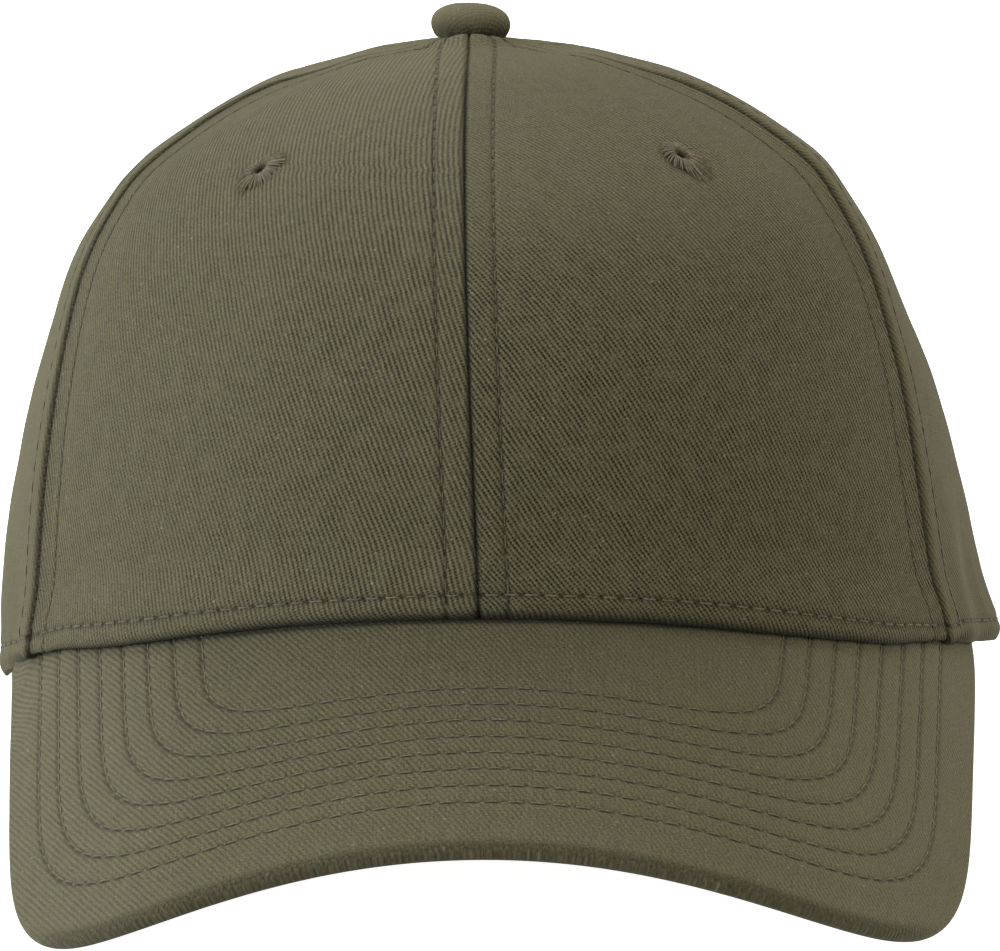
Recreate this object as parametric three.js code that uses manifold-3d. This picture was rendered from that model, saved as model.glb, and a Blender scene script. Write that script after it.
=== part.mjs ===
// Six-panel cap with a stitched peak, resting on its back rim and the two corners of the peak.
// Millimetres, +Z up. The front looks along -Y. Left (-X) and right (+X) are as seen from the front.
import * as THREE from "three";
import { mergeVertices } from "three/addons/utils/BufferGeometryUtils.js";
import Module from "manifold-3d";

const wasm = await Module();
wasm.setup();

// Driving sizes of the crown, in a frame whose z = 0 is the level of the rim at the sides
const CROWN_HEIGHT = 106;
const RIM_HALF_WIDTH = 86;
const RIM_FRONT_REACH = 105;
const RIM_BACK_REACH = 103;
const TOP_SET_BACK = 4;
const TOP_LEAN = -3;
const SHOULDER_FULLNESS = 0.06;
const SHOULDER_ANGLE = 62;
const SHOULDER_SPREAD = 22;
const RIGHT_SHOULDER_FULLNESS = 0.05;
const RIGHT_SHOULDER_ANGLE = 80;
const RIGHT_SHOULDER_SPREAD = 38;
const PANEL_PUFF = 0.7;

// Upright profiles of the crown: how much each tapers and how square its shoulder is
const PROFILES = {
  front: { taper: 0.0, squareness: 3.2 },
  side: { taper: 0.24, squareness: 4.85 },
  back: { taper: 0.16, squareness: 2.2 },
};

// Seams, as angles round the rim from the centre front, at the rim and at the top
const SEAMS = {
  centre_front: { rim: 0, top: 0, bow: 0 },
  front_side: { rim: 62.5, top: 73.5, bow: -5.5 },
  side_back: { rim: 121, top: 126, bow: 0 },
  centre_back: { rim: 180, top: 180, bow: 0 },
};
const SEAM_GAP = 0.32;
const CENTRE_SEAM_SHIFT = -0.35;

// Cloth
const WALL = 1.8;
const HEM_EXTRA = 1.0;
const HEM_HEIGHT = 18;
const PIECE_GAP = 0.3;
const RIM_CLEARANCE = 0.42;

// Level of the rim beside the peak and behind it, and where it leaves the peak
const SIDE_RIM_LEVEL = 0.5;
const LEFT_RIM_RISE = -2.4;
const RIGHT_RIM_RISE = 1.5;
const RIM_RISE_ANGLE = 92;
const RIM_RISE_SPREAD = 30;
const RIM_DROP_ANGLE = 67;
const RIM_DROP_SPAN = 19;
const REST_HALF_ANGLE = 25;

// Soft bulges and dents: angle and width in degrees, level and spread from 0 (rim) to 1 (top), depth in mm
const BULGES = [
  { angle: -88, width: 30, level: 0.28, spread: 0.17, depth: 1.3 },
  { angle: 88, width: 30, level: 0.28, spread: 0.17, depth: 0.6 },
  { angle: -85, width: 45, level: 0.968, spread: 0.019, depth: -0.9 },
];

// Folds in the cloth near the rim: angle round the rim, width in degrees, height and depth in mm
const FOLDS = [
  { angle: 68.5, width: 2.6, height: 36, depth: 0.8 },
  { angle: 75.5, width: 2.8, height: 32, depth: -0.9 },
  { angle: 84.0, width: 4.0, height: 34, depth: 0.9 },
  { angle: -70.0, width: 3.0, height: 24, depth: -0.5 },
  { angle: -77.5, width: 3.4, height: 30, depth: 0.6 },
];

// Peak: a board bent about one axis that slopes down to the front
const PEAK_RADIUS = 100;
const PEAK_SLOPE = 23;
const PEAK_ROOT_LEVEL = 23.5;
const PEAK_LENGTH = 63.7;
const PEAK_HALF_WIDTH = 85.0;
const PEAK_SHIFT = 0.6;
const PEAK_SQUARENESS = 5.1;
const PEAK_FRONT_RADIUS = 950;
const PEAK_FLARE = 0.105;
const PEAK_CENTRE = -15;
const PEAK_TIP_SET_BACK = 51;
const PEAK_TIP_TURN_IN = 1.4;
const LEFT_TIP_DROOP = 2.9;
const RIGHT_TIP_DROOP = 0.5;
const PEAK_THICKNESS = 3.3;
const PEAK_TIP_ANGLE = 64;
const PEAK_TUCK = 4.5;
const PEAK_EDGE = [
  { inset: 0.0, half: 0.55 },
  { inset: 0.7, half: 1.25 },
  { inset: 2.0, half: 1.65 },
];

// Button on the top, and the sewn air holes
const BUTTON_PROFILE = [
  { radius: 0.0, height: 6.1 },
  { radius: 2.4, height: 6.0 },
  { radius: 4.5, height: 5.5 },
  { radius: 6.0, height: 4.4 },
  { radius: 6.75, height: 3.0 },
  { radius: 6.6, height: 1.8 },
  { radius: 5.9, height: 0.9 },
  { radius: 5.3, height: 0.4 },
  { radius: 1.5, height: 0.35 },
  { radius: 1.5, height: -2.4 },
  { radius: 4.6, height: -2.4 },
  { radius: 4.2, height: -3.3 },
  { radius: 0.0, height: -3.5 },
];
const CROWN_TOP_HOLE = 2.6;
const EYELET_PROFILE = [
  { radius: 1.1, height: 0.35 },
  { radius: 2.0, height: 1.0 },
  { radius: 3.6, height: 0.9 },
  { radius: 4.5, height: 0.35 },
  { radius: 1.9, height: 0.3 },
  { radius: 1.9, height: -2.1 },
  { radius: 3.2, height: -2.15 },
  { radius: 2.6, height: -2.7 },
  { radius: 1.1, height: -2.3 },
];
const EYELET_HOLE_RADIUS = 2.2;
const EYELETS = [
  { name: "eyelet_front_left", panel: "front_panel_left", angle: -36.0, level: 0.823 },
  { name: "eyelet_front_right", panel: "front_panel_right", angle: 38.3, level: 0.84 },
  { name: "eyelet_side_left", panel: "side_panel_left", angle: -101.0, level: 0.81 },
  { name: "eyelet_side_right", panel: "side_panel_right", angle: 101.0, level: 0.81 },
  { name: "eyelet_back_left", panel: "back_panel_left", angle: -152.0, level: 0.75 },
  { name: "eyelet_back_right", panel: "back_panel_right", angle: 152.0, level: 0.75 },
];

// Panels: the two seams that bound each one, from the lower angle to the higher
const PANELS = [
  { name: "front_panel_left", from: "front_side", to: "centre_front", side: -1, columns: 9, crowd: 1 },
  { name: "front_panel_right", from: "centre_front", to: "front_side", side: 1, columns: 9, crowd: 1 },
  { name: "side_panel_left", from: "side_back", to: "front_side", side: -1, columns: 14, crowd: 1.4 },
  { name: "side_panel_right", from: "front_side", to: "side_back", side: 1, columns: 14, crowd: 1.4 },
  { name: "back_panel_left", from: "centre_back", to: "side_back", side: -1, columns: 9, crowd: 1 },
  { name: "back_panel_right", from: "side_back", to: "centre_back", side: 1, columns: 9, crowd: 1 },
];
const PANEL_ROWS = 20;

const COLOURS = {
  front: "#625d4a",
  side: "#6d6953",
  peak: "#5f5b47",
  button: "#6a6754",
  thread: "#57543f",
};

const radians = THREE.MathUtils.degToRad;
const smooth = (x) => THREE.MathUtils.smoothstep(x, 0, 1);
const bell = (x, spread) => Math.exp(-((x / spread) ** 2));

// How far the peak's tips droop below its bent board, from a place of the flat pattern
function tipDroop(across, forward) {
  const depth = across < 0 ? LEFT_TIP_DROOP : RIGHT_TIP_DROOP;
  return depth * smooth((Math.abs(across) - 78) / 16) * smooth((-forward - 15) / 25);
}

// Height of the peak's upper face over a point of the plan
function peakTop(x, y) {
  const slope = radians(PEAK_SLOPE);
  const bend = Math.asin(THREE.MathUtils.clamp(x / PEAK_RADIUS, -0.98, 0.98));
  const drop = PEAK_RADIUS * (1 - Math.cos(bend));
  const forward = (-RIM_FRONT_REACH - y + drop * Math.sin(slope)) / Math.cos(slope);
  const droop = tipDroop(PEAK_RADIUS * bend, forward);
  return PEAK_ROOT_LEVEL - forward * Math.sin(slope) - drop * Math.cos(slope) - droop;
}

// Point of the peak from its flat pattern: across, forward and below the upper face
function peakPoint(across, forward, below) {
  const slope = radians(PEAK_SLOPE);
  const bend = across / PEAK_RADIUS;
  const radius = PEAK_RADIUS - below;
  const drop = PEAK_RADIUS - radius * Math.cos(bend);
  return new THREE.Vector3(
    radius * Math.sin(bend),
    -RIM_FRONT_REACH - forward * Math.cos(slope) + drop * Math.sin(slope),
    PEAK_ROOT_LEVEL - forward * Math.sin(slope) - drop * Math.cos(slope) - tipDroop(across, forward),
  );
}

// Flat pattern place of the crown's rim, the reverse of peakPoint on the upper face
function flatPlace(x, y) {
  const slope = radians(PEAK_SLOPE);
  const bend = Math.asin(x / PEAK_RADIUS);
  const drop = PEAK_RADIUS * (1 - Math.cos(bend));
  const forward = (-RIM_FRONT_REACH - y + drop * Math.sin(slope)) / Math.cos(slope);
  return new THREE.Vector3(PEAK_RADIUS * bend, forward, 0);
}

// Outer edge of the peak's flat pattern, from tip to tip round the front
class PeakOutline extends THREE.Curve {
  getPoint(share, target = new THREE.Vector3()) {
    const sideLength = PEAK_TIP_SET_BACK + PEAK_CENTRE;
    const place = (share * 2 - 1) * (1 + sideLength / 60);
    const angle = (THREE.MathUtils.clamp(place, -1, 1) * Math.PI) / 2;
    const power = 2 / PEAK_SQUARENESS;
    const across = Math.sign(place) * Math.abs(Math.sin(angle)) ** power;
    const half = PEAK_HALF_WIDTH * across;
    const reach = PEAK_LENGTH - PEAK_CENTRE - (half * half) / (2 * PEAK_FRONT_RADIUS);
    const behind = Math.max(0, Math.abs(place) - 1) * 60;
    const forward = PEAK_CENTRE - behind + reach * Math.abs(Math.cos(angle)) ** power;
    const turnIn = PEAK_TIP_TURN_IN * (behind / sideLength) ** 3;
    const wide = half + across * (PEAK_FLARE * (PEAK_LENGTH - forward) - turnIn);
    return target.set(wide + PEAK_SHIFT, forward, 0);
  }
}

// Angle of a seam at a height of 0 (rim) to 1 (top)
function seamAngle(seam, level) {
  const { rim, top, bow } = SEAMS[seam];
  return rim + (top - rim) * level + bow * 4 * level * (1 - level);
}

// The same on the panel's own side of the crown, where the centre front is a little off centre
function sidedSeamAngle(panel, seam, level) {
  const shift = seam === "centre_front" ? CENTRE_SEAM_SHIFT : 0;
  return panel.side * seamAngle(seam, level) + shift;
}

// Height of the rim at an angle, over the plan point where the cloth ends
function rimHeight(angle, x, y) {
  const turn = Math.abs(angle);
  const rise = angle < 0 ? LEFT_RIM_RISE : RIGHT_RIM_RISE;
  const side = SIDE_RIM_LEVEL + rise * bell(turn - RIM_RISE_ANGLE, RIM_RISE_SPREAD);
  const onPeak = peakTop(x, y) + RIM_CLEARANCE;
  const share = smooth((turn - RIM_DROP_ANGLE) / RIM_DROP_SPAN);
  return onPeak * (1 - share) + side * share;
}

// Plain crown surface, before the puff and the folds
function crownSurface(angle, level) {
  const turn = radians(angle);
  const sine = Math.sin(turn) ** 2;
  const cosine = 1 - sine;
  const ahead = Math.cos(turn) > 0;
  const end = ahead ? PROFILES.front : PROFILES.back;
  const shoulder = SHOULDER_FULLNESS * bell(Math.abs(angle) - SHOULDER_ANGLE, SHOULDER_SPREAD);
  const right = RIGHT_SHOULDER_FULLNESS * bell(angle - RIGHT_SHOULDER_ANGLE, RIGHT_SHOULDER_SPREAD);
  const taper = PROFILES.side.taper * sine + end.taper * cosine - shoulder - right * level * level;
  const squareness = PROFILES.side.squareness * sine + end.squareness * cosine;
  const share = (1 - taper * level) * Math.sqrt(Math.max(0, 1 - level ** squareness));
  const rimX = RIM_HALF_WIDTH * Math.sin(turn);
  const rimY = -(ahead ? RIM_FRONT_REACH : RIM_BACK_REACH) * Math.cos(turn);
  const base = rimHeight(angle, rimX, rimY);
  return new THREE.Vector3(
    rimX * share + TOP_LEAN * level,
    rimY * share + TOP_SET_BACK * level * level,
    base + (CROWN_HEIGHT - base) * level,
  );
}

// Outward normal of the plain crown
function crownNormal(angle, level) {
  const low = Math.min(level, 0.9985);
  const across = crownSurface(angle + 0.2, low).sub(crownSurface(angle - 0.2, low));
  const up = crownSurface(angle, low + 0.0008).sub(crownSurface(angle, Math.max(0, low - 0.0008)));
  return across.cross(up).normalize();
}

// How far the cloth stands out of the plain crown at an angle and a level
function relief(angle, level, across) {
  const height = level * CROWN_HEIGHT;
  let out = PANEL_PUFF * Math.sin(Math.PI * across) * Math.sin(Math.PI * Math.sqrt(level));
  for (const bulge of BULGES) {
    out += bulge.depth * bell(angle - bulge.angle, bulge.width) * bell(level - bulge.level, bulge.spread);
  }
  for (const fold of FOLDS) {
    const fade = 1 - smooth((height / fold.height - 0.25) / 0.75);
    out += fold.depth * bell(angle - fold.angle, fold.width) * fade;
  }
  return out;
}

// Level of a row: even steps along the cloth, up to the hole under the button
function rowLevel(row) {
  const top = 1 - CROWN_TOP_HOLE / (RIM_HALF_WIDTH * 1.75);
  return 1 - (1 - row * top) ** 2;
}

// Place on a panel between its two seams, half a seam gap in from each
function panelAngle(panel, level, across) {
  let low = sidedSeamAngle(panel, panel.from, level);
  let high = sidedSeamAngle(panel, panel.to, level);
  const probe = crownSurface(low + 0.5, level).distanceTo(crownSurface(low - 0.5, level));
  const probeHigh = crownSurface(high + 0.5, level).distanceTo(crownSurface(high - 0.5, level));
  low += SEAM_GAP / 2 / probe;
  high -= SEAM_GAP / 2 / probeHigh;
  return low + (high - low) * across;
}

// One panel: a wall of cloth between two seams, thicker in the turned-up hem
function panelGeometry(panel) {
  const geometry = new THREE.BoxGeometry(1, 1, 1, panel.columns, PANEL_ROWS, 1);
  const place = geometry.attributes.position;
  for (let i = 0; i < place.count; i += 1) {
    const even = place.getX(i) + 0.5;
    const frontward = panel.side > 0 ? even : 1 - even;
    const crowded = frontward ** panel.crowd;
    const across = panel.side > 0 ? crowded : 1 - crowded;
    const level = rowLevel(place.getY(i) + 0.5);
    const inside = place.getZ(i) < 0;
    const angle = panelAngle(panel, level, across);
    const point = crownSurface(angle, level);
    const normal = crownNormal(angle, level);
    const hem = HEM_EXTRA * (1 - smooth((level * CROWN_HEIGHT) / HEM_HEIGHT));
    point.addScaledVector(normal, relief(angle, level, across) - (inside ? WALL + hem : 0));
    if (level === 0) point.z = Math.max(rimHeight(angle, point.x, point.y), restLevel(point.y));
    place.setXYZ(i, point.x, point.y, point.z);
  }
  return bare(geometry);
}

// The peak: upper and lower faces between the crown's rim and the outer edge
function peakGeometry() {
  const columns = 36;
  const rows = 10;
  const geometry = new THREE.BoxGeometry(1, 1, 1, columns, rows, 1);
  const place = geometry.attributes.position;
  const outline = new PeakOutline();
  outline.arcLengthDivisions = 2000;
  for (let i = 0; i < place.count; i += 1) {
    const across = place.getX(i) * 2;
    const row = Math.round((place.getY(i) + 0.5) * rows);
    const angle = PEAK_TIP_ANGLE * across;
    const inner = tuckedRim(angle);
    const outer = outline.getPointAt((across + 1) / 2);
    const length = inner.distanceTo(outer);
    const fromEdge = PEAK_EDGE[rows - row];
    const inset = fromEdge ? Math.min(fromEdge.inset, length * 0.2 * (rows - row)) : 0;
    const share = fromEdge ? 1 - inset / length : (row / (rows - 2)) * (1 - PEAK_EDGE[2].inset / length);
    const half = fromEdge ? fromEdge.half : PEAK_THICKNESS / 2;
    const flat = inner.clone().lerp(outer, share);
    const below = PEAK_THICKNESS / 2 + (place.getZ(i) > 0 ? -half : half);
    const point = peakPoint(flat.x, flat.y, below);
    place.setXYZ(i, point.x, point.y, point.z);
  }
  return bare(geometry);
}

// Flat place just inside the crown's rim, where the peak ends under the hem
function tuckedRim(angle) {
  const turn = radians(angle);
  const share = 1 - PEAK_TUCK / RIM_FRONT_REACH;
  return flatPlace(
    RIM_HALF_WIDTH * share * Math.sin(turn),
    -(RIM_FRONT_REACH - PEAK_TUCK) * Math.cos(turn),
  );
}

// The floor in the crown's frame: level under the cloth at the back, given the slope of the rest
let restSlope = 0;
function restLevel(y) {
  const contact = RIM_BACK_REACH * Math.cos(radians(REST_HALF_ANGLE));
  return SIDE_RIM_LEVEL + (y - contact) * restSlope;
}

// Slope of the floor that touches the lowest part of the peak
function findRestSlope(geometry) {
  const place = geometry.attributes.position;
  const contact = RIM_BACK_REACH * Math.cos(radians(REST_HALF_ANGLE));
  let slope = 0;
  for (let i = 0; i < place.count; i += 1) {
    slope = Math.max(slope, (SIDE_RIM_LEVEL - place.getZ(i)) / (contact - place.getY(i)));
  }
  return slope;
}

// Geometry with nothing but its positions, shared between its faces
function bare(geometry) {
  geometry.deleteAttribute("normal");
  geometry.deleteAttribute("uv");
  return mergeVertices(geometry, 1e-4);
}

// A turned piece stood on the crown, its axis along the normal
function turnedGeometry(profile, sides, angle, level) {
  const points = profile.map(({ radius, height }) => new THREE.Vector2(radius, height));
  if (points[0].x > 0) points.push(points[0].clone());
  const geometry = new THREE.LatheGeometry(points, sides);
  orient(geometry, angle, level);
  return outward(bare(geometry));
}

// Put a shape whose axis is +Y on the crown at an angle and a level
function orient(geometry, angle, level) {
  const normal = crownNormal(angle, level);
  const turn = new THREE.Quaternion().setFromUnitVectors(new THREE.Vector3(0, 1, 0), normal);
  const foot = crownSurface(angle, level).addScaledVector(normal, reliefAt(angle, level));
  geometry.applyQuaternion(turn);
  geometry.translate(foot.x, foot.y, foot.z);
}

// Relief at any place of the crown, from the panel that holds it
function reliefAt(angle, level) {
  const turn = Math.abs(angle);
  const bounds = ["centre_front", "front_side", "side_back", "centre_back"].map((s) => seamAngle(s, level));
  const index = turn < bounds[1] ? 0 : turn < bounds[2] ? 1 : 2;
  const across = (turn - bounds[index]) / (bounds[index + 1] - bounds[index]);
  return relief(angle, level, across);
}

// Faces turned outward, if the shape came out inside out
function outward(geometry) {
  const place = geometry.attributes.position;
  const order = geometry.index.array;
  const [a, b, c] = [new THREE.Vector3(), new THREE.Vector3(), new THREE.Vector3()];
  let volume = 0;
  for (let i = 0; i < order.length; i += 3) {
    a.fromBufferAttribute(place, order[i]);
    b.fromBufferAttribute(place, order[i + 1]);
    c.fromBufferAttribute(place, order[i + 2]);
    volume += a.dot(b.cross(c));
  }
  if (volume > 0) return geometry;
  for (let i = 0; i < order.length; i += 3) {
    [order[i + 1], order[i + 2]] = [order[i + 2], order[i + 1]];
  }
  return geometry;
}

// Solid of a closed geometry, and the geometry of a solid
function solidOf(geometry) {
  const clean = withoutSlivers(geometry);
  return new wasm.Manifold(
    new wasm.Mesh({
      numProp: 3,
      vertProperties: new Float32Array(clean.attributes.position.array),
      triVerts: new Uint32Array(clean.index.array),
    }),
  );
}

function geometryOf(solid) {
  const mesh = solid.getMesh();
  const geometry = new THREE.BufferGeometry();
  geometry.setAttribute("position", new THREE.BufferAttribute(new Float32Array(mesh.vertProperties), 3));
  geometry.setIndex(new THREE.BufferAttribute(new Uint32Array(mesh.triVerts), 1));
  return geometry;
}

// Drop faces whose corners were merged into one
function withoutSlivers(geometry) {
  const order = geometry.index.array;
  const kept = [];
  for (let i = 0; i < order.length; i += 3) {
    const [a, b, c] = [order[i], order[i + 1], order[i + 2]];
    if (a !== b && b !== c && a !== c) kept.push(a, b, c);
  }
  geometry.setIndex(kept);
  return geometry;
}

// A panel with its air hole cut through
function piercedPanel(panel) {
  const eyelet = EYELETS.find((entry) => entry.panel === panel.name);
  const drill = new THREE.CylinderGeometry(EYELET_HOLE_RADIUS, EYELET_HOLE_RADIUS, 12, 12);
  orient(drill, eyelet.angle, eyelet.level);
  return geometryOf(solidOf(outward(panelGeometry(panel))).subtract(solidOf(outward(bare(drill)))));
}

function cloth(colour) {
  return new THREE.MeshStandardMaterial({ color: colour, roughness: 0.92, metalness: 0 });
}

function named(name, geometry, colour) {
  const mesh = new THREE.Mesh(geometry, cloth(colour));
  mesh.name = name;
  return mesh;
}

// Assembly, then the pose in which the cap rests on a floor
const body = new THREE.Group();
const peak = outward(withoutSlivers(peakGeometry()));
restSlope = findRestSlope(peak);
body.add(named("peak", peak, COLOURS.peak));
for (const panel of PANELS) {
  const colour = panel.name.startsWith("front") ? COLOURS.front : COLOURS.side;
  body.add(named(panel.name, piercedPanel(panel), colour));
}
body.add(named("top_button", turnedGeometry(BUTTON_PROFILE, 24, 90, 1), COLOURS.button));
for (const eyelet of EYELETS) {
  const ring = turnedGeometry(EYELET_PROFILE, 16, eyelet.angle, eyelet.level);
  body.add(named(eyelet.name, ring, COLOURS.thread));
}
body.rotation.x = -Math.atan(restSlope);
body.updateMatrixWorld(true);

const cap = new THREE.Group();
cap.add(body);
const bounds = new THREE.Box3().setFromObject(body, true);
const middle = bounds.getCenter(new THREE.Vector3());
body.position.set(-middle.x, -middle.y, -bounds.min.z);

export default cap;
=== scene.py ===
"""Six-panel cap of cotton twill: sewn panels, row-stitched peak, covered button, sewn air holes.

Sizes are millimetres in the crown's own frame, whose z = 0 is the level of the side rim. The front
looks along -Y. RestPose lays that frame on the floor and turns it into metres. Angles go round the
crown in degrees from the centre front, levels go from 0, the rim, to 1, the top.
"""

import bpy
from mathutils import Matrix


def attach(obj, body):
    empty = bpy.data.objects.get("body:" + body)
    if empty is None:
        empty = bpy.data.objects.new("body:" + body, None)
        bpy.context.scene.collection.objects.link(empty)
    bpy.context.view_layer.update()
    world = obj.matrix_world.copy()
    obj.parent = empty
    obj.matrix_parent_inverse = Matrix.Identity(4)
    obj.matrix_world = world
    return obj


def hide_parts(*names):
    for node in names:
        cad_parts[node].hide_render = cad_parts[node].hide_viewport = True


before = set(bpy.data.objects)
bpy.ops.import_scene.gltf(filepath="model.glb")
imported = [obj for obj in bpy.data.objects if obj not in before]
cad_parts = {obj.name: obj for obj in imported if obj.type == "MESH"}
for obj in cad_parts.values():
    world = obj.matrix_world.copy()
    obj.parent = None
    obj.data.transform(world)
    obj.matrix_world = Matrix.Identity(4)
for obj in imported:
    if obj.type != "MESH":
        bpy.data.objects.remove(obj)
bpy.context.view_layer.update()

import logging
from collections.abc import Callable, Sequence
from dataclasses import dataclass
from enum import Enum

import bpy
import numpy as np
from mathutils import Matrix, Vector

Array = np.ndarray
Colour = tuple[float, float, float]
Piece = bpy.types.Object
Material = bpy.types.Material

LOG = logging.getLogger("cap")
MILLIMETRE = 0.001
FULL_TURN = 2 * np.pi
RIM_RADIUS = 95.0
NOWHERE = -1e3
FAR_ASIDE = 9.0
SKIN_WELD = 2e-6
THREAD_FLATNESS = 0.8


def ease(share: Array) -> Array:
    """Smooth step from 0 to 1 as share goes from 0 to 1."""
    held = np.clip(share, 0.0, 1.0)
    return held * held * (3.0 - 2.0 * held)


def ramp(value: Array, start: float, span: float) -> Array:
    """Smooth step that goes up from 0 at start to 1 a span further."""
    return ease((value - start) / span)


def fade(value: Array, start: float, span: float) -> Array:
    """Smooth step that goes down from 1 at start to 0 a span further."""
    return 1 - ramp(value, start, span)


def bell(offset: Array, spread: float) -> Array:
    """Rounded bump of height 1 at offset 0."""
    return np.exp(-((offset / spread) ** 2))


def unit(vectors: Array) -> Array:
    """Vectors scaled to length 1."""
    return vectors / np.maximum(np.linalg.norm(vectors, axis=-1, keepdims=True), 1e-12)


def run_of(points: Array) -> Array:
    """Length of a path from its first point to each of its points."""
    return np.concatenate([[0.0], np.cumsum(np.linalg.norm(np.diff(points, axis=0), axis=1))])


def round_rim(angle: Array) -> Array:
    """Length round the rim from the centre front, mm."""
    return np.radians(angle) * RIM_RADIUS


@dataclass(frozen=True)
class SoftNoise:
    """Smooth random field over a flat cloth, the same on every run."""

    seed: int
    cell: float
    lattice: int = 96

    def at(self, across: Array, along: Array) -> Array:
        """Value of the field.

        Args:
            across, along: place on the cloth, mm.

        Returns:
            Values from -1 to 1.
        """
        size = self.lattice
        values = np.random.default_rng(self.seed).uniform(-1.0, 1.0, (size + 1, size + 1))
        x, y = across / self.cell + size / 2, along / self.cell + size / 2
        column, row = np.floor(x).astype(int), np.floor(y).astype(int)
        right, up = ease(x - column), ease(y - row)
        columns, rows = (column % size, (column + 1) % size), (row % size, (row + 1) % size)
        bottom, top = (values[columns[0], at] * (1 - right) + values[columns[1], at] * right for at in rows)
        return bottom * (1 - up) + top * up


@dataclass(frozen=True)
class RestPose:
    """How the crown's frame lies on the floor: a tilt about X, then a shift."""

    tilt: float = -0.11148618674748638
    shift: tuple[float, float, float] = (-0.22283172607421875, 29.96183506837621, 9.88876135227414)

    def matrix(self) -> Array:
        """The tilt as a matrix."""
        cosine, sine = np.cos(self.tilt), np.sin(self.tilt)
        return np.array([[1, 0, 0], [0, cosine, -sine], [0, sine, cosine]])

    def turn(self, vectors: Array) -> Array:
        """Directions of the crown's frame as directions over the floor."""
        return vectors @ self.matrix().T

    def place(self, points: Array) -> Array:
        """Points of the crown's frame, mm, as points over the floor, metres."""
        return (self.turn(points) + self.shift) * MILLIMETRE

    def back(self, points: Array) -> Array:
        """Points over the floor, metres, as points of the crown's frame, mm."""
        return (points / MILLIMETRE - self.shift) @ self.matrix()


POSE = RestPose()


# Bench work: primitives shaped by their vertices, in place


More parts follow.
